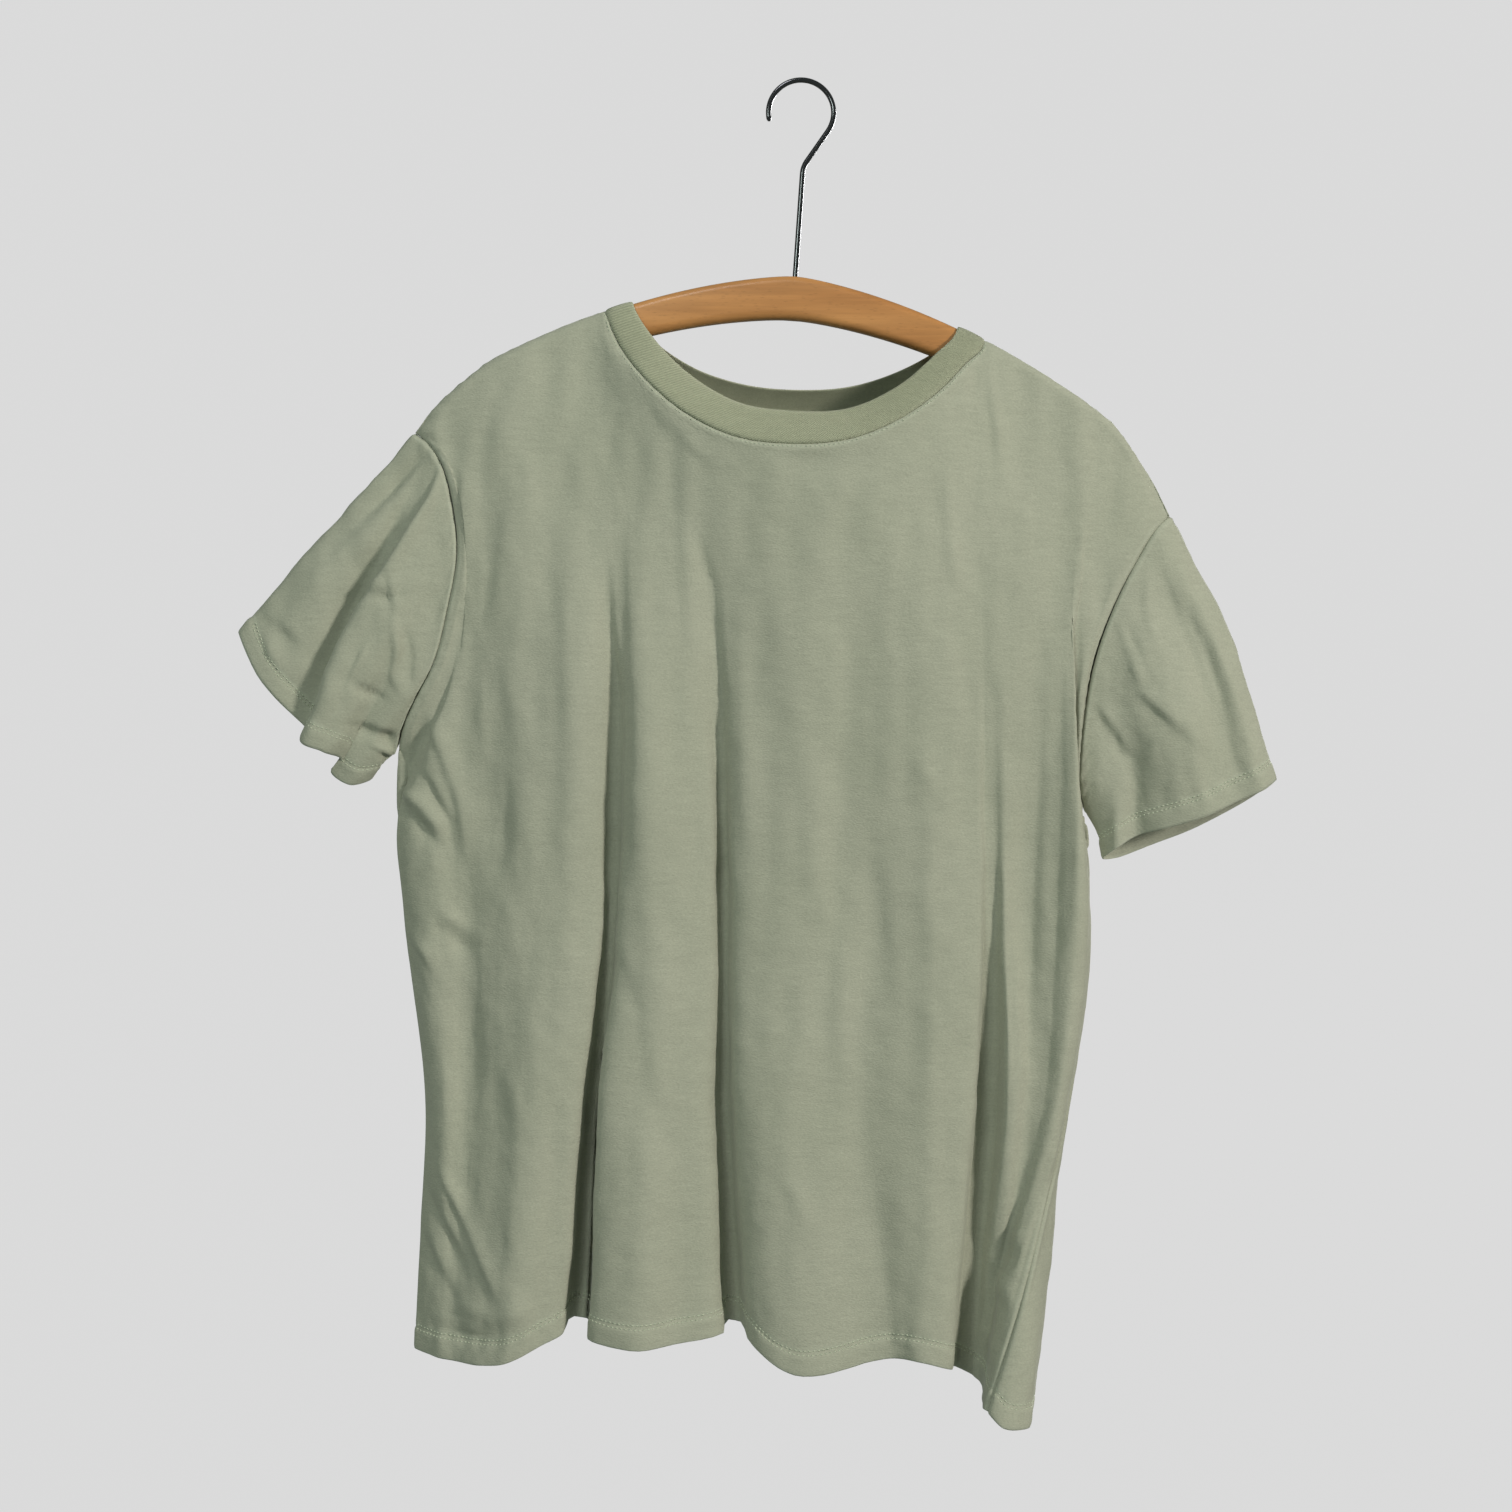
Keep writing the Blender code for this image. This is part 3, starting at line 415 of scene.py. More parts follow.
def away_from_seam(seams, top, target, side):
    """Unit vectors from a panel's top seams into the panel, square to the seams."""
    folds = FRONT_FOLDS if side > 0 else BACK_FOLDS
    way = target - top
    for shoulder, here in ((1, seams < 1), (4, seams > 4)):
        fold = next(fold for fold in folds if fold.seam == shoulder)
        way[here] = np.array([fold.yoke_x, fold.yoke_out, -SEAM_STAND]) - top[here] * (1, 1, 0)
    seam_line = np.gradient(top, axis=0)
    seam_line /= np.linalg.norm(seam_line, axis=1)[:, None]
    way -= seam_line * (way * seam_line).sum(axis=1)[:, None]
    way[:, 1] = side * np.maximum(side * way[:, 1], 0)
    for end in (0, -1):
        way[end] = target[end] - top[end]
    return way / np.linalg.norm(way, axis=1)[:, None]


def roll_rows(seams, target, side):
    """Rows just under a panel's top seam: over the hanger's arm, or square to the other seams."""
    top = on_top(side, seams)
    beyond = np.abs(top[:, 0] - MIDDLE_X) - ARM_LENGTH - ARM_TIP
    radius = CLOTH_ON_ARM + (DROOP_RADIUS - CLOTH_ON_ARM) * np.clip(beyond / DROOP_LENGTH, 0, 1)
    start = np.arcsin(np.clip(np.abs(top[:, 1]) / radius, 0, 1))
    start[(seams < UNDERARM_SHARE) | (seams > 5 - UNDERARM_SHARE)] = math.pi / 2
    square = away_from_seam(seams, top, target, side)
    points = on_top(side, [1, 4])[:, 0]
    reach = np.abs(top[:, :1] - points).min(axis=1)
    lean = SHOULDER_LEAN * np.clip(1 - reach / SHOULDER_EASE, 0, 1) * -np.sign(top[:, 0] - MIDDLE_X)
    rows = []
    for share in np.linspace(0, 1, ROLL_ROWS + 1):
        turn = start + (math.pi / 2 - start) * share
        row = top + square * (SEAM_STAND * share * start / (math.pi / 2))[:, None]
        forward = radius * (np.sin(turn) - np.sin(start))
        row[:, 0] += lean * forward
        row[:, 1] += side * forward
        row[:, 2] -= radius * (np.cos(start) - np.cos(turn))
        rows.append(row)
    return rows


def lane_row(seams, top, under, target):
    """The row where columns from an armhole have swung over to run straight down the panel."""
    swing = np.clip((np.abs(seams - 2.5) - SWING_START) / (1.5 - SWING_START), 0, 1)[:, None]
    swing = swing * swing * (3 - 2 * swing)
    drop = np.maximum(
        LANE_SLOPE * np.abs(target[:, 0] - top[:, 0]), LANE_SHARE * (top[:, 2] - target[:, 2])
    )
    nearer = np.abs(target[:, 0] - MIDDLE_X) < np.abs(under[:, 0] - MIDDLE_X)
    lane = np.column_stack(
        [
            np.where(nearer, target[:, 0], under[:, 0]),
            LANE_SHARE * top[:, 1] + (1 - LANE_SHARE) * target[:, 1],
            top[:, 2] - drop,
        ]
    )
    return swing * lane + (1 - swing) * (under + LANE_SHARE * (target - under))


def loft(stations, shares):
    """Rows of a smooth surface down through the stations, at shares counted in stations."""
    stations = np.array(stations)
    surface = np.zeros((len(shares), stations.shape[1], 3))
    for column in range(stations.shape[1]):
        points = stations[:, column]
        knots = np.append(0, np.cumsum(np.linalg.norm(np.diff(points, axis=0), axis=1)))
        surface[:, column] = smooth(knots, points, np.interp(shares, np.arange(len(knots)), knots))
    return surface


# The rows of a panel, counted in stations: they lie close together near a seam and near a hem,
# where the sewing shows.
HEM_ROWS = 1 - np.linspace(0.26, 0, 19)
BODY_SHARES = np.concatenate([
    np.arange(0, 1, 1 / 12), np.arange(1, 2, 1 / 24), np.arange(2, 3, 1 / 40),
    np.arange(3, 4, 1 / 40), np.arange(4, 5, 1 / 24), 5 + np.linspace(0, 0.74, 16, endpoint=False),
    5 + HEM_ROWS,
])
YOKE_EASING = 40
EASED_BELOW = -400
EASED_ABOVE = -235
EASED_RIGHT = 90
EASED_RIGHT_X = 120
EASED_RIGHT_FADE = 40
CROWDED_BELOW = -480
CROWDED_FADE = 70
CROWDED_ROW = 6
CROWDED_ROW_FADE = 10
CROWDED_SEAM = 4.35
CROWDED_SEAM_FADE = 0.3


def body_panel(side):
    """Points of the front or back panel, in rows from the top seams to the hem."""
    seams = panel_seams(side)
    sections = body_sections(around_body(side, seams))
    rows = roll_rows(seams, sections[0], side)
    lane = lane_row(seams, rows[0], rows[-1], sections[0])
    surface = np.concatenate([np.array(rows[:-1]), loft([rows[-1], lane, *sections], BODY_SHARES)])
    # The columns below the right shoulder crowd together and mustn't cross each other.
    crowded = surface[ROLL_ROWS:, seams > 3]
    uncrossed = np.maximum.accumulate(crowded[:, :, 0], axis=1)
    high = np.clip((crowded[:, :, 2] - CROWDED_BELOW) / CROWDED_FADE, 0, 1)
    high *= np.clip((np.arange(len(crowded)) - CROWDED_ROW) / CROWDED_ROW_FADE, 0, 1)[:, None]
    high *= np.clip((CROWDED_SEAM - seams[seams > 3]) / CROWDED_SEAM_FADE, 0, 1)
    crowded[:, :, 0] += high * (uncrossed - crowded[:, :, 0])
    surface[ROLL_ROWS:, seams > 3] = crowded
    # High up the cloth is taut over the shoulders, so the folds are eased out there.
    right = np.clip((surface[:, :, :1] - EASED_RIGHT_X) / EASED_RIGHT_FADE, 0, 1)
    eased = surface[:, :, 2:] + EASED_RIGHT * right - EASED_BELOW
    eased = np.clip(eased / (EASED_ABOVE - EASED_BELOW), 0, 1) ** 1.5
    eased *= np.clip(np.arange(len(surface)) / ROLL_ROWS, 0, 1)[:, None, None] ** 2
    for _ in range(YOKE_EASING):
        beside = (surface[:, :-2] + surface[:, 2:]) / 2
        surface[:, 1:-1] += 0.5 * eased[:, 1:-1] * (beside - surface[:, 1:-1])
    depth = surface[:, :, 1]
    inner = eased[1:-1, 1:-1, 0] * (np.arange(1, len(surface) - 1) > ROLL_ROWS)[:, None]
    for _ in range(YOKE_EASING // 2):
        around = depth[:-2, 1:-1] + depth[2:, 1:-1] + depth[1:-1, :-2] + depth[1:-1, 2:]
        depth[1:-1, 1:-1] += inner * (around / 4 - depth[1:-1, 1:-1])
    return surface * (1, -1, 1) if side > 0 else surface[:, ::-1] * (1, -1, 1)


def surface_normals(surface, closed):
    """Outward normals of a grid whose rows run down and whose columns run round the body."""
    if closed:
        across = np.roll(surface, -1, axis=1) - np.roll(surface, 1, axis=1)
    else:
        across = np.gradient(surface, axis=1)
    normals = np.cross(np.gradient(surface, axis=0), across)
    return normals / np.maximum(np.linalg.norm(normals, axis=2), 1e-9)[:, :, None]


def run(surface, axis):
    """How far each point lies along its row or column."""
    steps = np.linalg.norm(np.diff(surface, axis=axis), axis=2)
    first = np.zeros_like(surface[:1, :, 0] if axis == 0 else surface[:, :1, 0])
    return np.cumsum(np.concatenate([first, steps], axis=axis), axis=axis)


def measured(surface, closed):
    """A grid's normals, and how far each point is across it, down it and from its last row."""
    down = run(surface, 0)
    return surface_normals(surface, closed), run(surface, 1), down, down[-1] - down


def near(distance, width):
    """1 where the distance is 0, fading out over the width."""
    return np.exp(-((distance / width) ** 2))


STEEP_SIDE = 0.55
EASY_SIDE = 1.6


def crease_relief(surface, creases):
    """Uneven ridges and troughs along lines of x and z, fading out at both ends.

    Each is steep on one side and easy on the other, and a negative width swaps the sides.
    """
    place = surface[:, :, [0, 2]]
    relief = np.zeros(place.shape[:2])
    for number, (width, height, points) in enumerate(creases):
        line = np.array(points, float).reshape(-1, 2)
        best = np.full(relief.shape, 1e9)
        share = np.zeros_like(relief)
        side = np.zeros_like(relief)
        lengths = np.linalg.norm(np.diff(line, axis=0), axis=1)
        total = lengths.sum()
        before = 0.0
        for start, end, length in zip(line, line[1:], lengths):
            way = (end - start) / length
            t = np.clip((place - start) @ way, 0, length)
            off = place - start - t[:, :, None] * way
            gap = np.linalg.norm(off, axis=2)
            nearer = gap < best
            best[nearer] = gap[nearer]
            share[nearer] = ((before + t) / total)[nearer]
            side[nearer] = np.sign(way[0] * off[:, :, 1] - way[1] * off[:, :, 0])[nearer]
            before += length
        taper = np.sin(np.pi * np.clip(share, 0.03, 0.97)) ** 0.7
        uneven = 1 + 0.3 * np.sin(9 * share + 2.4 * number)
        steep = side * math.copysign(1, height * width) < 0
        spread = abs(width) * (0.75 + 0.5 * share) * np.where(steep, STEEP_SIDE, EASY_SIDE)
        relief += height * taper * uneven * near(best, spread)
    return relief


def rumple(surface, seed, sizes):
    """Uneven cloth: noise of each (across mm, down mm, height mm), in the cloth's own plane."""
    relief = np.zeros(surface.shape[:2])
    for layer, (across, down, height) in enumerate(sizes):
        for i, row in enumerate(surface):
            for j, (x, y, z) in enumerate(row):
                spot = Vector((x / across, y / across, z / down + 17.3 * (seed + layer)))
                relief[i, j] += height * noise.noise(spot)
    return relief


# Creases, small and large: width, height, and the x and z of each point of the line
FRONT_CREASES = (
    # below the neckband
    (3, 1.9, (93, -252, 92, -285, 95, -312, 99, -340)),
    (3.5, 1.5, (122, -182, 123, -206, 128, -240, 127, -262)),
    (3, -1, (116, -186, 112, -209)),
    (3.5, 1.2, (108, -192, 99, -222)),
    (6, -1.4, (-24, -250, 5, -254, 34, -251)),
    (3, 0.8, (-10, -246, 20, -249, 52, -243)),
    (5, 1, (-88, -222, -70, -246, -46, -262)),
    (4, 0.9, (60, -236, 84, -222)),
    (5, 1, (-102, -205, -84, -236)),
    # beside the left armhole and under it
    (5, 1.2, (-216, -222, -221, -258, -219, -314)),
    (4, 2, (-231, -316, -222, -336)),
    (6, 3.2, (-246, -415, -233, -444, -223, -473, -216, -519)),
    (5, -3, (-256, -447, -243, -463, -231, -486, -226, -512)),
    (4.5, 3.4, (-266, -466, -250, -476, -232, -495)),
    (4.5, -2.8, (-266, -476, -250, -487, -234, -506)),
    (4, 2.2, (-238, -545, -211, -563)),
    (4, -1.8, (-240, -553, -214, -572)),
    (4, 2.2, (-262, -557, -244, -575, -238, -590)),
    (5, -1.6, (-262, -574, -246, -598)),
    (12, -2.6, (-193, -408, -194, -473, -196, -538)),
    (10, -2.4, (-212, -564, -214, -642, -216, -700)),
    # low on the left side
    (4.5, 3, (-236, -712, -222, -739, -209, -765, -192, -795)),
    (5, -2.8, (-246, -726, -232, -752, -214, -785)),
    (6, -2.6, (-256, -744, -240, -775, -222, -803)),
    (5, 2.2, (-228, -800, -200, -806, -170, -800)),
    (5, -1.8, (-246, -812, -214, -818, -180, -812)),
    # the upper ends of the two deep folds, and the ridges beside them
    (5, -4.5, (-126, -318, -123, -360, -119, -407, -120, -470, -123, -545)),
    (9, 3.2, (-112, -300, -108, -360, -104, -430, -106, -540)),
    (12, 2.2, (-150, -300, -150, -400, -152, -520)),
    (4.5, -4, (-66, -306, -57, -335, -52, -400, -51, -470, -50, -550)),
    (8, 2.6, (-40, -330, -38, -400, -36, -480, -36, -560)),
    (7, 2, (-80, -250, -76, -300, -72, -380, -74, -470)),
    # down the middle
    (9, -2.4, (-122, -569, -107, -607, -99, -652, -88, -704)),
    (3.5, 1.2, (71, -444, 89, -473)),
    (5, 1.3, (-62, -426, -60, -470, -57, -520)),
    (7, 1.5, (22, -470, 26, -540, 24, -610, 30, -680)),
    (8, -1.6, (48, -500, 54, -580, 52, -650)),
    (7, 1.4, (78, -520, 84, -600, 80, -690)),
    (5, 1.4, (-18, -706, -4, -728, 4, -760)),
    # down the right side
    (6, 1.6, (184, -330, 183, -400, 181, -480, 178, -570)),
    (6, -1.4, (168, -380, 168, -450, 166, -520, 164, -600)),
    (9, -3, (156, -375, 152, -505, 147, -616, 142, -733)),
    (5, 2.4, (138, -560, 141, -640, 134, -720, 128, -790)),
    (6, 1.8, (211, -250, 210, -277, 206, -310)),
    (4, 2, (166, -690, 158, -728, 146, -752)),
    (4, -2, (170, -706, 160, -742, 150, -766)),
    (4, 2.2, (164, -742, 150, -774, 140, -790)),
    (4, -2.2, (160, -762, 146, -792, 136, -806)),
    (4, 2, (124, -772, 134, -792, 140, -812)),
    (5, -2, (146, -812, 134, -826, 124, -846)),
    (5, 1.8, (120, -822, 132, -838, 136, -850)),
    (3.5, 2, (172, -700, 164, -712, 158, -730)),
    (3.5, -1.8, (160, -716, 152, -736, 150, -748)),
    (3.5, 1.8, (156, -740, 142, -752, 136, -768)),
    (3.5, -1.6, (150, -756, 140, -764, 132, -780)),
    (3.5, 1.8, (146, -772, 132, -782, 128, -798)),
)
BODY_RUMPLE = ((26, 190, 2.4), (15, 50, 1.3), (10, 14, 0.55), (5, 6.5, 0.26))


def sewn_relief(from_seam, from_hem, along_hem, hem):
    """The dip at a seam, and a turned-up hem with its stitched groove and small puckers."""
    relief = -1.7 * near(from_seam, 1.5)
    fold = 1 / (1 + np.exp((from_hem - hem - 1.5) / 0.6))
    relief += 0.6 * fold - 0.9 * near(from_hem - hem, 1.9)
    pucker = np.sin(along_hem / 1.9 + 1.7 * np.sin(along_hem / 23))
    pucker = pucker * (0.6 + 0.4 * np.sin(along_hem / 31))
    relief += 0.34 * pucker * near(from_hem - hem, 6)
    relief += 0.45 * pucker * near(from_seam - 4, 4)
    return relief - 0.5 * near(from_hem, 1.2)


BODY_HEM = 14.5


def finished_panel(side, creases, seed):
    """A panel's points with its creases, hem and seams, and what its material reads."""
    surface = body_panel(side)
    normals, across, down, from_hem = measured(surface, False)
    from_side = np.minimum(across, across[:, -1:] - across)
    from_seam = np.minimum(down, from_side)
    loose = 1 - near(from_seam, 9)
    relief = (crease_relief(surface, creases) + rumple(surface, seed, BODY_RUMPLE)) * loose
    relief += sewn_relief(from_seam, from_hem, across, BODY_HEM)
    worn = 0.35 * near(from_seam - 2.4, 1.2) + near(from_hem, 1.4)
    worn += 0.5 * near(from_hem - BODY_HEM - 2, 1.2)
    return surface, normals, relief, across, down, worn


def add_object(name, data):
    """A new object of this mesh, lamp or camera, in the scene."""
    made = bpy.data.objects.new(name, data)
    bpy.context.collection.objects.link(made)
    return made


def sheet_object(name, surface, normals, relief, across, down, worn, closed, finish):
    """A thin closed wall of cloth around a grid of points, with its own UV map in metres."""
    rows, columns, _ = surface.shape
    middle = surface + normals * relief[:, :, None]
    skin = surface_normals(middle, closed)
    for edge in (0, -1):
        skin[edge] = normals[edge]
        if not closed:
            skin[:, edge] = normals[:, edge]
    points = np.concatenate([
        (middle + skin * CLOTH / 2).reshape(-1, 3), (middle - skin * CLOTH / 2).reshape(-1, 3)
    ]) * MM
    inside = rows * columns
    j = np.arange(columns if closed else columns - 1)
    a = (np.arange(rows - 1)[:, None] * columns + j).ravel()
    right = a - a % columns + (a % columns + 1) % columns
    outer = np.column_stack([a, a + columns, right + columns, right])
    inner = np.column_stack([a, right, right + columns, a + columns]) + inside
    k = (j + 1) % columns
    last = (rows - 1) * columns
    edges = [np.column_stack([j, k, k + inside, j + inside])]
    edges.append(np.column_stack([k, j, j + inside, k + inside]) + last)
    if not closed:
        i = np.arange(rows - 1) * columns
        edges.append(np.column_stack([i + columns, i, i + inside, i + columns + inside]))
        i = i + columns - 1
        edges.append(np.column_stack([i, i + columns, i + columns + inside, i + inside]))
    faces = np.concatenate([outer, inner, *edges])
    mesh = bpy.data.meshes.new(name)
    mesh.from_pydata(points.tolist(), [], faces.tolist())
    vertex = np.zeros(len(mesh.loops), int)
    mesh.loops.foreach_get("vertex_index", vertex)
    uv = np.column_stack([across.ravel(), down.ravel()]) * MM
    uv = np.concatenate([uv, uv])
    mesh.uv_layers.new(name="Cloth").data.foreach_set("uv", uv[vertex].astype(np.float32).ravel())
    mark = mesh.attributes.new("worn", "FLOAT", "POINT")
    mark.data.foreach_set("value", np.concatenate([worn.ravel()] * 2).astype(np.float32))
    mesh.shade_smooth()
    mesh.materials.append(finish)
    piece = add_object(name, mesh)
    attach(piece, "root")
    return piece


STITCH_PITCH = 3.0
STITCH_LENGTH = 2.3
STITCH_LIFT = 0.1
STITCH_SHOULDERS = (0.22, 0.78)
THREAD = 0.5
TWIN_ROWS = (-1.4, 1.3)


def sewn_row(name, grid, measure, distance, columns=slice(None), rides=1):
    """A row of machine stitches on the cloth, where the measure of each column is the distance."""
    surface, normals, relief, measure = (part[:, columns] for part in (*grid[:3], measure))
    order = np.argsort(measure[:, 0])
    line, face = (
        np.array([
            [np.interp(distance, measure[order, j], values[order, j, k]) for k in range(3)]
            for j in range(values.shape[1])
        ])
        for values in (
            surface + normals * (relief + rides * (CLOTH / 2 + STITCH_LIFT))[:, :, None], normals
        )
    )
    face = face * rides
    length = np.append(0, np.cumsum(np.linalg.norm(np.diff(line, axis=0), axis=1)))
    points = []
    faces = []
    for start in np.arange(STITCH_PITCH / 2, length[-1] - STITCH_PITCH, STITCH_PITCH):
        tail, head, out = (
            np.array([np.interp(place, length, values[:, i]) for i in range(3)])
            for place, values in ((start, line), (start + STITCH_LENGTH, line), (start, face))
        )
        way = head - tail
        side = np.cross(way, out)
        side *= THREAD / np.linalg.norm(side)
        up = out * THREAD / np.linalg.norm(out)
        first = len(points)
        points += [tail - up, head - up]
        for share in STITCH_SHOULDERS:
            middle = tail + way * share
            points += [middle - side - up * 0.4, middle + up * 0.7, middle + side - up * 0.4]
        for k in range(3):
            a, b = first + 2 + k, first + 2 + (k + 1) % 3
            faces += [(first, b, a), (first + 1, a + 3, b + 3), (a, b, b + 3, a + 3)]
    mesh = bpy.data.meshes.new(name)
    mesh.from_pydata((np.array(points) * MM).tolist(), [], faces)
    mesh.shade_smooth()
    mesh.materials.append(thread)
    row = add_object(name, mesh)
    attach(row, "root")


def hem_rows(name, grid, hem):
    """The two stitched rows of a turned-up hem."""
    down = grid[4]
    for number, offset in enumerate(TWIN_ROWS):
        sewn_row(f"{name}_row_{number}", grid, down[-1] - down, hem + offset)


def srgb(code):
    """A linear colour from its sRGB hex value."""
    parts = [int(code[k:k + 2], 16) / 255 for k in (0, 2, 4)]
    return tuple(c / 12.92 if c < 0.04045 else ((c + 0.055) / 1.055) ** 2.4 for c in parts) + (1,)


def finish_of(name, **settings):
    """A new material with the inputs of its main shader set, and that shader's inputs."""
    made = bpy.data.materials.new(name)
    made.use_nodes = True
    inputs = made.node_tree.nodes["Principled BSDF"].inputs
    for key, value in settings.items():
        inputs[key.replace("_", " ")].default_value = value
    return made, inputs


def node(material, kind, **given):
    """Adds one node with its settings, and its inputs set to values or linked to other nodes.

    An input is given by its name, or as i and its number.
    """
    made = material.node_tree.nodes.new("ShaderNode" + kind)
    for key, value in given.items():
        if hasattr(made, key):
            setattr(made, key, value)
            continue
        place = made.inputs[int(key[1:]) if key[1:].isdigit() else key.replace("_", " ")]
        if isinstance(value, bpy.types.Node):
            value = value.outputs[0]
        if isinstance(value, bpy.types.NodeSocket):
            material.node_tree.links.new(value, place)
        else:
            place.default_value = value
    return made


def jersey(name, light, deep, worn_colour, rib_pitch=None):
    """Washed cotton jersey: matte, a little fuzzy, with fine knit lines and a faint melange.

    Its specks are 1.6 mm wide and its streaks 13 by 2 mm, coarser than the real yarn so that
    they show. A rib also has its wales, which stand up at the given pitch in millimetres, and its
    colour is made darker in the grooves between them and lighter on their tops, as painted shade
    and painted light.
    """
    made, shader = finish_of(name, Roughness=0.92, Specular_IOR_Level=0.25, Sheen_Weight=0.18,
                             Sheen_Roughness=0.45)
    place = node(made, "TexCoord").outputs
    grain = node(made, "Mapping", i0=place["Object"], Scale=(1, 1, 2.2))
    level = node(made, "Mapping", i0=place["Object"], Scale=(0.3, 0.3, 2))
    patches = node(made, "TexNoise", Vector=place["Object"], Scale=9, Detail=3)
    melange = node(made, "TexNoise", Vector=grain, Scale=620, Detail=2)
    streaks = node(made, "TexNoise", Vector=level, Scale=260, Detail=4)
    tone = node(made, "Mix", data_type="RGBA", Factor=patches, i6=srgb(deep), i7=srgb(light))
    speck = node(made, "Math", operation="MULTIPLY_ADD", i0=melange, i1=0.4, i2=0.8)
    streak = node(made, "Math", operation="MULTIPLY_ADD", i0=streaks, i1=0.2, i2=0.9)
    shade = node(made, "Math", operation="MULTIPLY", i0=speck, i1=streak)
    depth = melange
    if rib_pitch:
        wales = node(made, "TexWave", wave_profile="SIN", Vector=place["UV"],
                     Scale=math.tau / 20 / (rib_pitch * MM), Distortion=0.4, Detail=1)
        wales = wales.outputs["Fac"]
        depth = node(made, "Math", operation="MULTIPLY_ADD", i0=wales, i1=1.6, i2=melange)
        # Painted shade and light: the colour follows the wales' bump, darker in the grooves and
        # lighter on the tops.
        painted_rib_shading = node(made, "Math", operation="MULTIPLY_ADD", i0=wales, i1=0.22, i2=0.92)
        shade = node(made, "Math", operation="MULTIPLY", i0=shade, i1=painted_rib_shading)
    heather = node(made, "VectorMath", operation="SCALE", i0=tone.outputs[2], Scale=shade)
    mark = node(made, "Attribute", attribute_name="worn").outputs["Fac"]
    blotch = node(made, "TexNoise", Vector=place["Object"], Scale=160, Detail=2)
    part = node(made, "Math", operation="MULTIPLY", use_clamp=True, i0=mark, i1=blotch)
    rubbed = node(made, "Mix", data_type="RGBA", Factor=part, i6=heather, i7=srgb(worn_colour))
    bump = node(made, "Bump", Height=depth, Strength=0.6, Distance=0.5 * MM)
    made.node_tree.links.new(rubbed.outputs[2], shader["Base Color"])
    made.node_tree.links.new(bump.outputs[0], shader["Normal"])
    return made


body_jersey = jersey("washed cotton jersey", "AAAC9C", "9FA391", "C0C6B4")
front_grid = finished_panel(1, FRONT_CREASES, 3)
front = sheet_object("front_panel", *front_grid, False, body_jersey)
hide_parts("front")

# Spun polyester sewing thread dyed to the cloth: a little lighter and smoother than it.
THREAD_COLOUR = srgb("C4CCB6")
thread, shader = finish_of("sewing thread", Roughness=0.6)
place = node(thread, "TexCoord").outputs["Object"]
twist = node(thread, "TexNoise", Vector=place, Scale=900, Detail=2)
tone = node(thread, "Mix", data_type="RGBA", Factor=twist,
            i6=[c * 0.8 for c in THREAD_COLOUR[:3]] + [1], i7=THREAD_COLOUR)
bump = node(thread, "Bump", Height=twist, Strength=0.4, Distance=0.2 * MM)
thread.node_tree.links.new(tone.outputs[2], shader["Base Color"])
thread.node_tree.links.new(bump.outputs[0], shader["Normal"])
hem_rows("front_hem", front_grid, BODY_HEM)
neck = (panel_seams(1) >= 2) & (panel_seams(1) <= 3)
sewn_row("front_neck_row", front_grid, front_grid[4], 2.2, neck)

# The back panel: jersey cut like the front but with a higher neck, so its inside shows above the
# front's neckband. It is sewn to the front at the shoulders and sides, and has its own folds.
BACK_CREASES = (
    (7, 2.2, (-215, -330, -190, -372, -176, -420)),
    (6, -1.8, (-230, -395, -200, -432, -183, -480)),
    (7, 2, (150, -372, 132, -420, 124, -478)),
    (6, -1.6, (168, -420, 150, -470, 146, -520)),
    (12, -2, (-40, -300, -46, -420, -40, -540)),
    (10, 1.8, (30, -360, 36, -470, 30, -600)),
    (6, 1.7, (-232, -560, -214, -590, -206, -640)),
    (6, 1.6, (150, -600, 138, -650, 140, -720)),
    (5, -1.4, (-60, -640, -48, -690, -52, -740)),
)
back_grid = finished_panel(-1, BACK_CREASES, 8)
back = sheet_object("back_panel", *back_grid, False, body_jersey)
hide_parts("back")
hem_rows("back_hem", back_grid, BODY_HEM)
neck = (panel_seams(-1)[::-1] >= 2) & (panel_seams(-1)[::-1] <= 3)
sewn_row("back_neck_row", back_grid, back_grid[4], 4.0, neck, -1)

# The sleeves: short tubes set into the armholes, each with a stitched hem. The left one droops
# in a deep fold to a crumpled underside, and the right one hangs almost flat.
SLEEVE_SHARES = np.concatenate([
    np.linspace(0, 0.12, 8, endpoint=False), np.linspace(0.12, 1, 26, endpoint=False),
    1 + np.linspace(0, 0.55, 16, endpoint=False), 1 + np.linspace(0.55, 1, 22),
])
SLEEVE_HEM = 13.5
SLEEVE_DEPTH = 1.15
SLEEVE_RUMPLE = ((30, 60, 1.6), (12, 24, 0.9), (6, 8, 0.34))


def between(seams, low, high):
    """Those of the seams that lie from low to high."""
    return seams[(seams >= low - 1e-9) & (seams <= high + 1e-9)]


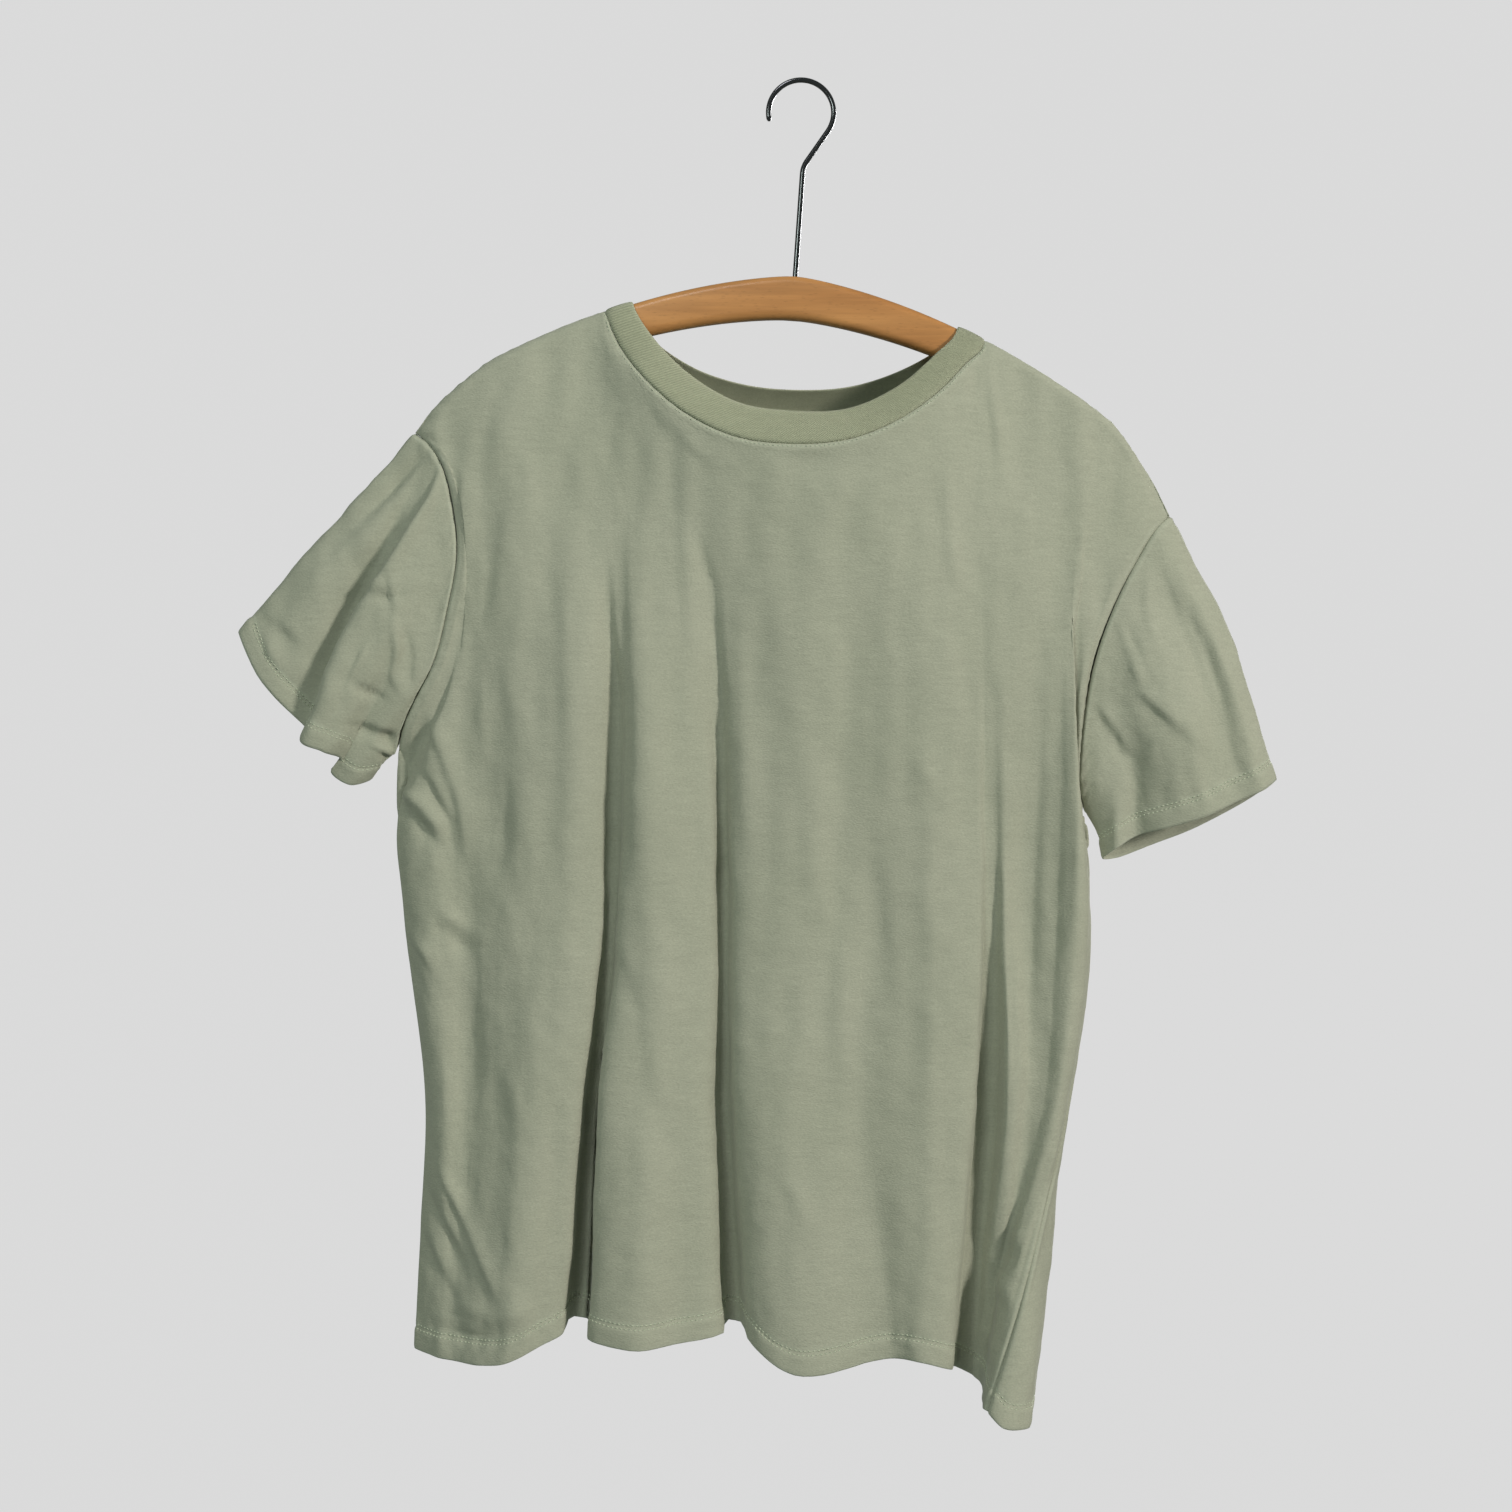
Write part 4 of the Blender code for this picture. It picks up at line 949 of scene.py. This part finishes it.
def sleeve_grid(folds, first_seam, direction, creases, seed):
    """Points of a sleeve, in rows from the armhole to the cuff; each row is a closed ring."""
    low, high = sorted((first_seam, first_seam + direction))
    front_seams = between(panel_seams(1), low, high)[::direction]
    back_seams = between(panel_seams(-1), low, high)[::-direction][1:-1]
    armhole = np.vstack([on_top(1, front_seams), on_top(-1, back_seams)])
    ring = np.concatenate([
        (front_seams - first_seam) * direction, 2 - (back_seams - first_seam) * direction
    ])
    knots = [fold.seam for fold in folds]
    mid = smooth_loop(knots, [fold[1:4] for fold in folds], 2.0, ring)
    cuff = smooth_loop(knots, [fold[4:7] for fold in folds], 2.0, ring)
    surface = loft([armhole, mid, cuff], SLEEVE_SHARES)
    inner = surface + np.roll(surface, -1, axis=1)
    outer = np.roll(surface, 1, axis=1) + np.roll(surface, -2, axis=1)
    surface = np.stack([surface, (9 * inner - outer) / 16], axis=2).reshape(len(surface), -1, 3)
    surface = (surface if direction < 0 else surface[:, ::-1]) * (1, -1, 1)
    normals, across, down, from_hem = measured(surface, True)
    facing = np.clip(-normals[:, :, 1] * 3, 0, 1)
    loose = (1 - near(down, 9)) * (1 - 0.6 * near(from_hem, 8))
    relief = SLEEVE_DEPTH * crease_relief(surface, creases) * facing
    relief = (relief + rumple(surface, seed, SLEEVE_RUMPLE)) * loose
    relief += sewn_relief(down, from_hem, across, SLEEVE_HEM)
    worn = 0.5 * near(down - 2.4, 1.4) + near(from_hem, 1.4)
    worn += 0.5 * near(from_hem - SLEEVE_HEM - 2, 1.2)
    return surface, normals, relief, across, down, worn


LEFT_CREASES = (
    # the long fold down to the cuff, and the shorter one above it
    (3.5, 3.6, (-229, -240, -242, -275, -265, -315, -288, -348, -305, -387, -318, -424)),
    (5, -2.6, (-234, -244, -247, -275, -270, -315, -293, -348, -310, -387, -323, -424)),
    (6, -4.2, (-240, -240, -253, -252, -275, -276, -298, -298, -315, -318)),
    (7, 2.2, (-256, -268, -278, -292, -296, -318)),
    # small ones on the near part
    (2.4, -1.8, (-288, -338, -270, -341, -254, -339)),
    (2.4, 1.4, (-284, -332, -270, -334, -258, -331)),
    (2.4, 1.5, (-268, -322, -266, -340, -262, -352)),
    (2.8, 2, (-266, -352, -264, -374, -267, -392, -261, -404)),
    (4, -1, (-258, -358, -254, -380, -256, -398)),
    (2.6, -2, (-300, -392, -285, -400, -268, -408)),
    (2.6, 1.4, (-282, -372, -290, -388, -296, -404)),
    # the crumpled underside
    (5, -3.4, (-290, -424, -275, -430, -258, -436)),
    (3, 2, (-284, -436, -268, -444, -258, -452)),
    (2.6, -1.8, (-276, -440, -266, -452, -262, -462)),
    # towards the tip
    (5, -1.6, (-356, -352, -342, -362, -326, -374)),
    (4, 1.4, (-352, -366, -346, -380, -338, -392)),
)
RIGHT_CREASES = (
    (8, 1.6, (238, -318, 250, -350, 264, -385, 280, -430)),
    (7, 1.2, (254, -300, 268, -335, 284, -372, 300, -420)),
    (4, 1.2, (226, -318, 224, -345, 229, -366)),
    (4, 1.2, (203, -352, 214, -378, 221, -402)),
    (4, -0.9, (208, -350, 219, -376, 226, -400)),
    (4, 1.4, (191, -408, 207, -427, 218, -444)),
    (3.5, -1, (192, -416, 206, -435, 214, -452)),
    (5, 1.2, (216, -398, 240, -420, 262, -436)),
    (5, -0.9, (219, -407, 242, -429, 260, -444)),
)
for side, folds, first_seam, direction, creases, seed in (
    ("left", LEFT_SLEEVE_FOLDS, 1, -1, LEFT_CREASES, 12),
    ("right", RIGHT_SLEEVE_FOLDS, 4, 1, RIGHT_CREASES, 15),
):
    grid = sleeve_grid(folds, first_seam, direction, creases, seed)
    tube = sheet_object(f"{side}_sleeve", *grid, True, body_jersey)
    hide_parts(f"sleeve_{side}")
    hem_rows(f"{side}_cuff", grid, SLEEVE_HEM)

# The neckband: fine rib, folded in two and sewn around the neck with a narrow stitched seam.
BAND_ROWS = 14


def band_grid():
    """Points of the neckband, in rows from its top edge to the neck seam; each row is a ring."""
    front_seams = between(panel_seams(1), 2, 3)
    back_seams = between(panel_seams(-1), 2, 3)[1:-1][::-1]
    seam = np.vstack([on_top(1, front_seams), on_top(-1, back_seams)])
    front_top = neckline(BAND_LEFT_X, FRONT_BAND_TOP, BAND_RIGHT_X, 1)
    back_top = neckline(BAND_LEFT_X, BACK_BAND_TOP, BAND_RIGHT_X, -1)
    top = np.vstack([along(front_top, front_seams - 2), along(back_top, back_seams - 2)])
    surface = loft([top, seam], np.linspace(0, 1, BAND_ROWS)) * (1, -1, 1)
    normals, across, down, from_seam = measured(surface, True)
    swell = np.sqrt(np.clip(np.sin(np.pi * down / down[-1]), 0, 1))
    relief = 0.9 * swell - 0.7 * near(from_seam, 1.6)
    worn = 0.6 * near(from_seam, 1.5) + 0.6 * near(down, 1.5)
    return surface, normals, relief, across, down, worn


rib = jersey("cotton rib", "A6A991", "9A9F87", "BCC0A9", rib_pitch=1.9)
band = sheet_object("neck_band", *band_grid(), True, rib)
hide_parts("neckband")

# The hanger: a bar of beech sawn to its bow, rounded all along its edges and varnished clear. Its
# middle shows inside the neck. It hangs a little askew on its hook.
def pick(condition, kind):
    """Selects the elements of the edited mesh whose middle, in millimetres, meets the condition."""
    edited = bmesh.from_edit_mesh(bpy.context.object.data)
    bpy.ops.mesh.select_all(action="DESELECT")
    for element in getattr(edited, kind):
        corners = [element] if kind == "verts" else element.verts
        middle = sum((corner.co for corner in corners), Vector()) / len(corners) / MM
        if condition(middle):
            element.select_set(True)
    edited.select_flush_mode()
    bmesh.update_edit_mesh(bpy.context.object.data)


def settle(piece, name):
    middle = Matrix.Translation((0, 0, -HOOK_INSIDE * MM))
    piece.data.transform(middle @ Matrix.Rotation(HANGER_TILT, 4, "Y") @ middle.inverted())
    piece.data.update()
    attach(piece, "root")
    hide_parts(name)


EDGE_ROUND = 5.4
ARM_STEPS = 71
arm_end = ARM_LENGTH + ARM_TIP
bpy.ops.object.select_all(action="DESELECT")
bpy.ops.mesh.primitive_cube_add(size=1)
hanger = bpy.context.object
hanger.name = "hanger_bar"
hanger.dimensions = (2 * arm_end * MM, ARM_THICKNESS * MM, ARM_HEIGHT_MIDDLE * MM)
bpy.ops.object.transform_apply(location=False, rotation=False, scale=True)
bpy.ops.object.mode_set(mode="EDIT")
bpy.ops.mesh.select_mode(type="EDGE")
pick(lambda middle: abs(middle.x) < 1, "edges")
bpy.ops.mesh.subdivide(number_cuts=ARM_STEPS)
bpy.ops.mesh.select_mode(type="VERT")
edited = bmesh.from_edit_mesh(hanger.data)
for corner in edited.verts:
    s = corner.co.x / MM
    share = min(abs(s) / ARM_LENGTH, 1)
    height = ARM_HEIGHT_MIDDLE + (ARM_HEIGHT_END - ARM_HEIGHT_MIDDLE) * share
    top = HANGER_TOP - arm_drop(s)
    corner.co = ((STEM_X + s) * MM, corner.co.y, (top if corner.co.z > 0 else top - height) * MM)
for edge in edited.edges:
    edge.select_set(len(edge.link_faces) == 2 and edge.calc_face_angle(0) > 1)
bmesh.update_edit_mesh(hanger.data)
bpy.ops.mesh.bevel(offset=EDGE_ROUND * MM, segments=6, profile=0.5, clamp_overlap=True)
bpy.ops.mesh.select_all(action="SELECT")
bpy.ops.mesh.normals_make_consistent(inside=False)
bpy.ops.object.mode_set(mode="OBJECT")
bpy.ops.object.select_all(action="DESELECT")
bpy.ops.mesh.primitive_cylinder_add(
    vertices=32, radius=2.2 * MM, depth=28 * MM, location=(STEM_X * MM, 0, HANGER_TOP * MM)
)
drill = bpy.context.object
bpy.ops.object.select_all(action="DESELECT")
hanger.select_set(True)
bpy.context.view_layer.objects.active = hanger
hole = hanger.modifiers.new("socket", "BOOLEAN")
hole.operation = "DIFFERENCE"
hole.object = drill
bpy.ops.object.modifier_apply(modifier=hole.name)
bpy.data.objects.remove(drill)
bpy.ops.object.shade_smooth_by_angle(angle=math.radians(35))


# Varnished beech: warm tan with growth lines 2.4 mm apart along the bar and dark flecks 7 by
# 1.7 mm, and a thin satin varnish over it that gives soft highlights.
beech, shader = finish_of("varnished beech", Roughness=0.45, Coat_Weight=0.3, Coat_Roughness=0.25)
place = node(beech, "TexCoord").outputs["Object"]
along_bar = node(beech, "Mapping", Vector=place, Scale=(0.06, 1, 1))
fleck_place = node(beech, "Mapping", Vector=place, Scale=(0.25, 1, 1))
lines = node(beech, "TexNoise", Vector=along_bar, Scale=420, Detail=3)
broad = node(beech, "TexNoise", Vector=along_bar, Scale=70, Detail=2)
flecks = node(beech, "TexVoronoi", Vector=fleck_place, Scale=600)
tone = node(beech, "ValToRGB", Fac=broad)
for stop, position, colour in zip(tone.color_ramp.elements, (0.3, 0.7), ("B47C46", "D0965A")):
    stop.position = position
    stop.color = srgb(colour)
lines = node(beech, "MapRange", Value=lines, From_Min=0.3, From_Max=0.7, To_Min=0.86, To_Max=1.06)
flecks = node(beech, "MapRange", Value=flecks, From_Min=0.05, From_Max=0.3, To_Min=0.82, To_Max=1)
streaked = node(beech, "VectorMath", operation="SCALE", Vector=tone, Scale=lines)
flecked = node(beech, "VectorMath", operation="SCALE", Vector=streaked, Scale=flecks)
beech.node_tree.links.new(flecked.outputs[0], shader["Base Color"])
hanger.data.materials.clear()
hanger.data.materials.append(beech)
settle(hanger, "hanger")

# The hook: one length of steel wire, bent round, slanted back to the middle, pushed into the
# bar's top and chrome plated. Its free end is ground to a soft point.
WIRE = 1.7
HOOK_LINE = HOOK_INSIDE + WIRE
TIP_TURN = math.radians(194.0)
END_TURN = math.radians(-31.0)
SLANT = 24.0
BEND = math.radians(31.0)
hook_middle = Vector((0, 0, -HOOK_INSIDE)) * MM


def around_hook(turn, out=HOOK_LINE):
    """A point around the middle of the hook, at an angle and a distance."""
    return hook_middle + Vector((math.cos(turn), 0, math.sin(turn))) * out * MM


bpy.ops.object.select_all(action="DESELECT")
bpy.ops.mesh.primitive_circle_add(
    vertices=20, radius=WIRE * MM, location=around_hook(END_TURN), rotation=(0, -END_TURN, 0)
)
hook = bpy.context.object
hook.name = "hook_wire"
bpy.ops.object.transform_apply(location=True, rotation=True, scale=True)
bpy.ops.object.mode_set(mode="EDIT")
bpy.ops.mesh.select_mode(type="VERT")
bpy.ops.mesh.select_all(action="SELECT")
bpy.ops.mesh.spin(
    steps=64, angle=TIP_TURN - END_TURN, center=hook_middle, axis=(0, 1, 0), use_auto_merge=False
)
facing = Vector((-math.sin(TIP_TURN), 0, math.cos(TIP_TURN)))
middle = around_hook(TIP_TURN)
for length, size in ((0.9, 0.86), (0.7, 0.72), (0.35, 0.5)):
    bpy.ops.mesh.extrude_region_move(TRANSFORM_OT_translate={"value": facing * length * MM})
    middle = middle + facing * length * MM
    bpy.ops.transform.resize(value=(size, size, size), center_override=middle)
bpy.ops.mesh.edge_face_add()
start = around_hook(END_TURN)
slant = Vector((math.sin(END_TURN), 0, -math.cos(END_TURN)))
pick(
    lambda middle: abs((middle * MM - start).length - WIRE * MM) < 0.02 * MM
    and abs((middle * MM - start).dot(slant)) < 0.02 * MM,
    "verts",
)
bpy.ops.mesh.extrude_region_move(TRANSFORM_OT_translate={"value": slant * SLANT * MM})
low = start + slant * SLANT * MM
bend_out = (low.x / MM - STEM_X) / (1 - math.cos(BEND))
bend_middle = low + Vector((math.cos(END_TURN), 0, math.sin(END_TURN))) * bend_out * MM
bpy.ops.mesh.spin(steps=10, angle=BEND, center=bend_middle, axis=(0, 1, 0), use_auto_merge=False)
foot = (bend_middle.z / MM) - (HANGER_TOP - 13.7)
bpy.ops.mesh.extrude_region_move(TRANSFORM_OT_translate={"value": (0, 0, -foot * MM)})
bpy.ops.mesh.edge_face_add()
bpy.ops.mesh.select_all(action="SELECT")
bpy.ops.mesh.remove_doubles(threshold=0.01 * MM)
bpy.ops.mesh.normals_make_consistent(inside=False)
bpy.ops.object.mode_set(mode="OBJECT")
bpy.ops.object.shade_smooth_by_angle(angle=math.radians(40))

# Chrome plate as a dark grey mirror with slightly soft reflections: its base colour is darkened as
# painted shade, standing in for the dark surroundings it reflects.
chrome, _ = finish_of("chrome plate darkened as painted shade", Base_Color=srgb("5C5C60"), Metallic=1, Roughness=0.16)
hook.data.materials.clear()
hook.data.materials.append(chrome)
settle(hook, "hook")

# The studio: a round floor that curves up into a wall, of pale paper that glows evenly, so that
# the background has one tone and throws no light on the shirt.
FLOOR = -1.15
FLOOR_RADIUS = 2.4
SWEEP_CURVE = 0.9
SWEEP_SIDES = 96
profile = [(1.2, FLOOR), (FLOOR_RADIUS, FLOOR)]
for a in np.linspace(0.15, math.pi / 2, 10):
    rise = SWEEP_CURVE * (1 - math.cos(a))
    profile.append((FLOOR_RADIUS + math.sin(a) * SWEEP_CURVE, FLOOR + rise))
profile.append((FLOOR_RADIUS + SWEEP_CURVE, 3.0))
turns = np.linspace(0, math.tau, SWEEP_SIDES, endpoint=False)
built = bmesh.new()
rings = [
    [built.verts.new((r * math.cos(a), r * math.sin(a), z)) for a in turns] for r, z in profile
]
centre = built.verts.new((0, 0, FLOOR))
for k in range(SWEEP_SIDES):
    n = (k + 1) % SWEEP_SIDES
    built.faces.new([centre, rings[0][k], rings[0][n]])
    for inner, outer in zip(rings, rings[1:]):
        built.faces.new([inner[k], outer[k], outer[n], inner[n]])
bmesh.ops.recalc_face_normals(built, faces=built.faces)
stage_mesh = bpy.data.meshes.new("studio_sweep")
built.to_mesh(stage_mesh)
built.free()
stage_mesh.shade_smooth()
paper, _ = finish_of("pale paper", Base_Color=srgb("101010"), Roughness=1, Specular_IOR_Level=0,
                     Emission_Color=srgb("DADADA"), Emission_Strength=1)
stage_mesh.materials.append(paper)
sweep = add_object("studio_sweep", stage_mesh)
sweep.visible_diffuse = False
sweep.visible_glossy = False
sweep.visible_shadow = False

# The lamps: a small key from the right that draws the folds, a weak fill from the left, one from
# above, and one behind that lights the back alone.
for name, place, aim_z, size, power, colour in (
    ("key", (3.2, -2.6, 0.8), -0.5, 0.6, 128, "FFF8F0"),
    ("fill", (-1.4, -3.1, 0.8), -0.35, 0.8, 22, "F0FFF2"),
    ("top", (-0.6, -2.2, 2.0), -0.4, 0.7, 18, "FFFFFF"),
    ("back", (1.6, 3.2, 0.7), -0.4, 1.2, 90, "FFFFFF"),
):
    light = bpy.data.lights.new(name, "AREA")
    light.shape = "DISK"
    light.size = size
    light.energy = power
    light.color = srgb(colour)[:3]
    made = add_object(name, light)
    made.location = place
    sight = Vector((0, 0, aim_z)) - Vector(place)
    made.rotation_euler = sight.to_track_quat("-Z", "Y").to_euler()
    made.visible_glossy = name != "key"

world = bpy.data.worlds.new("studio")
bpy.context.scene.world = world
world.use_nodes = True
glow = world.node_tree.nodes["Background"].inputs
glow["Color"].default_value = srgb("DEEADF")
glow["Strength"].default_value = 0.25

# The camera: level, in front of the chest.
camera = bpy.data.cameras.new("camera")
camera.lens = 46.2
made = add_object("camera", camera)
made.location = (-0.0297, -1.28, -0.4442)
made.rotation_euler = (math.pi / 2, 0, 0)
bpy.context.scene.camera = made
bpy.context.scene.view_settings.view_transform = "Standard"
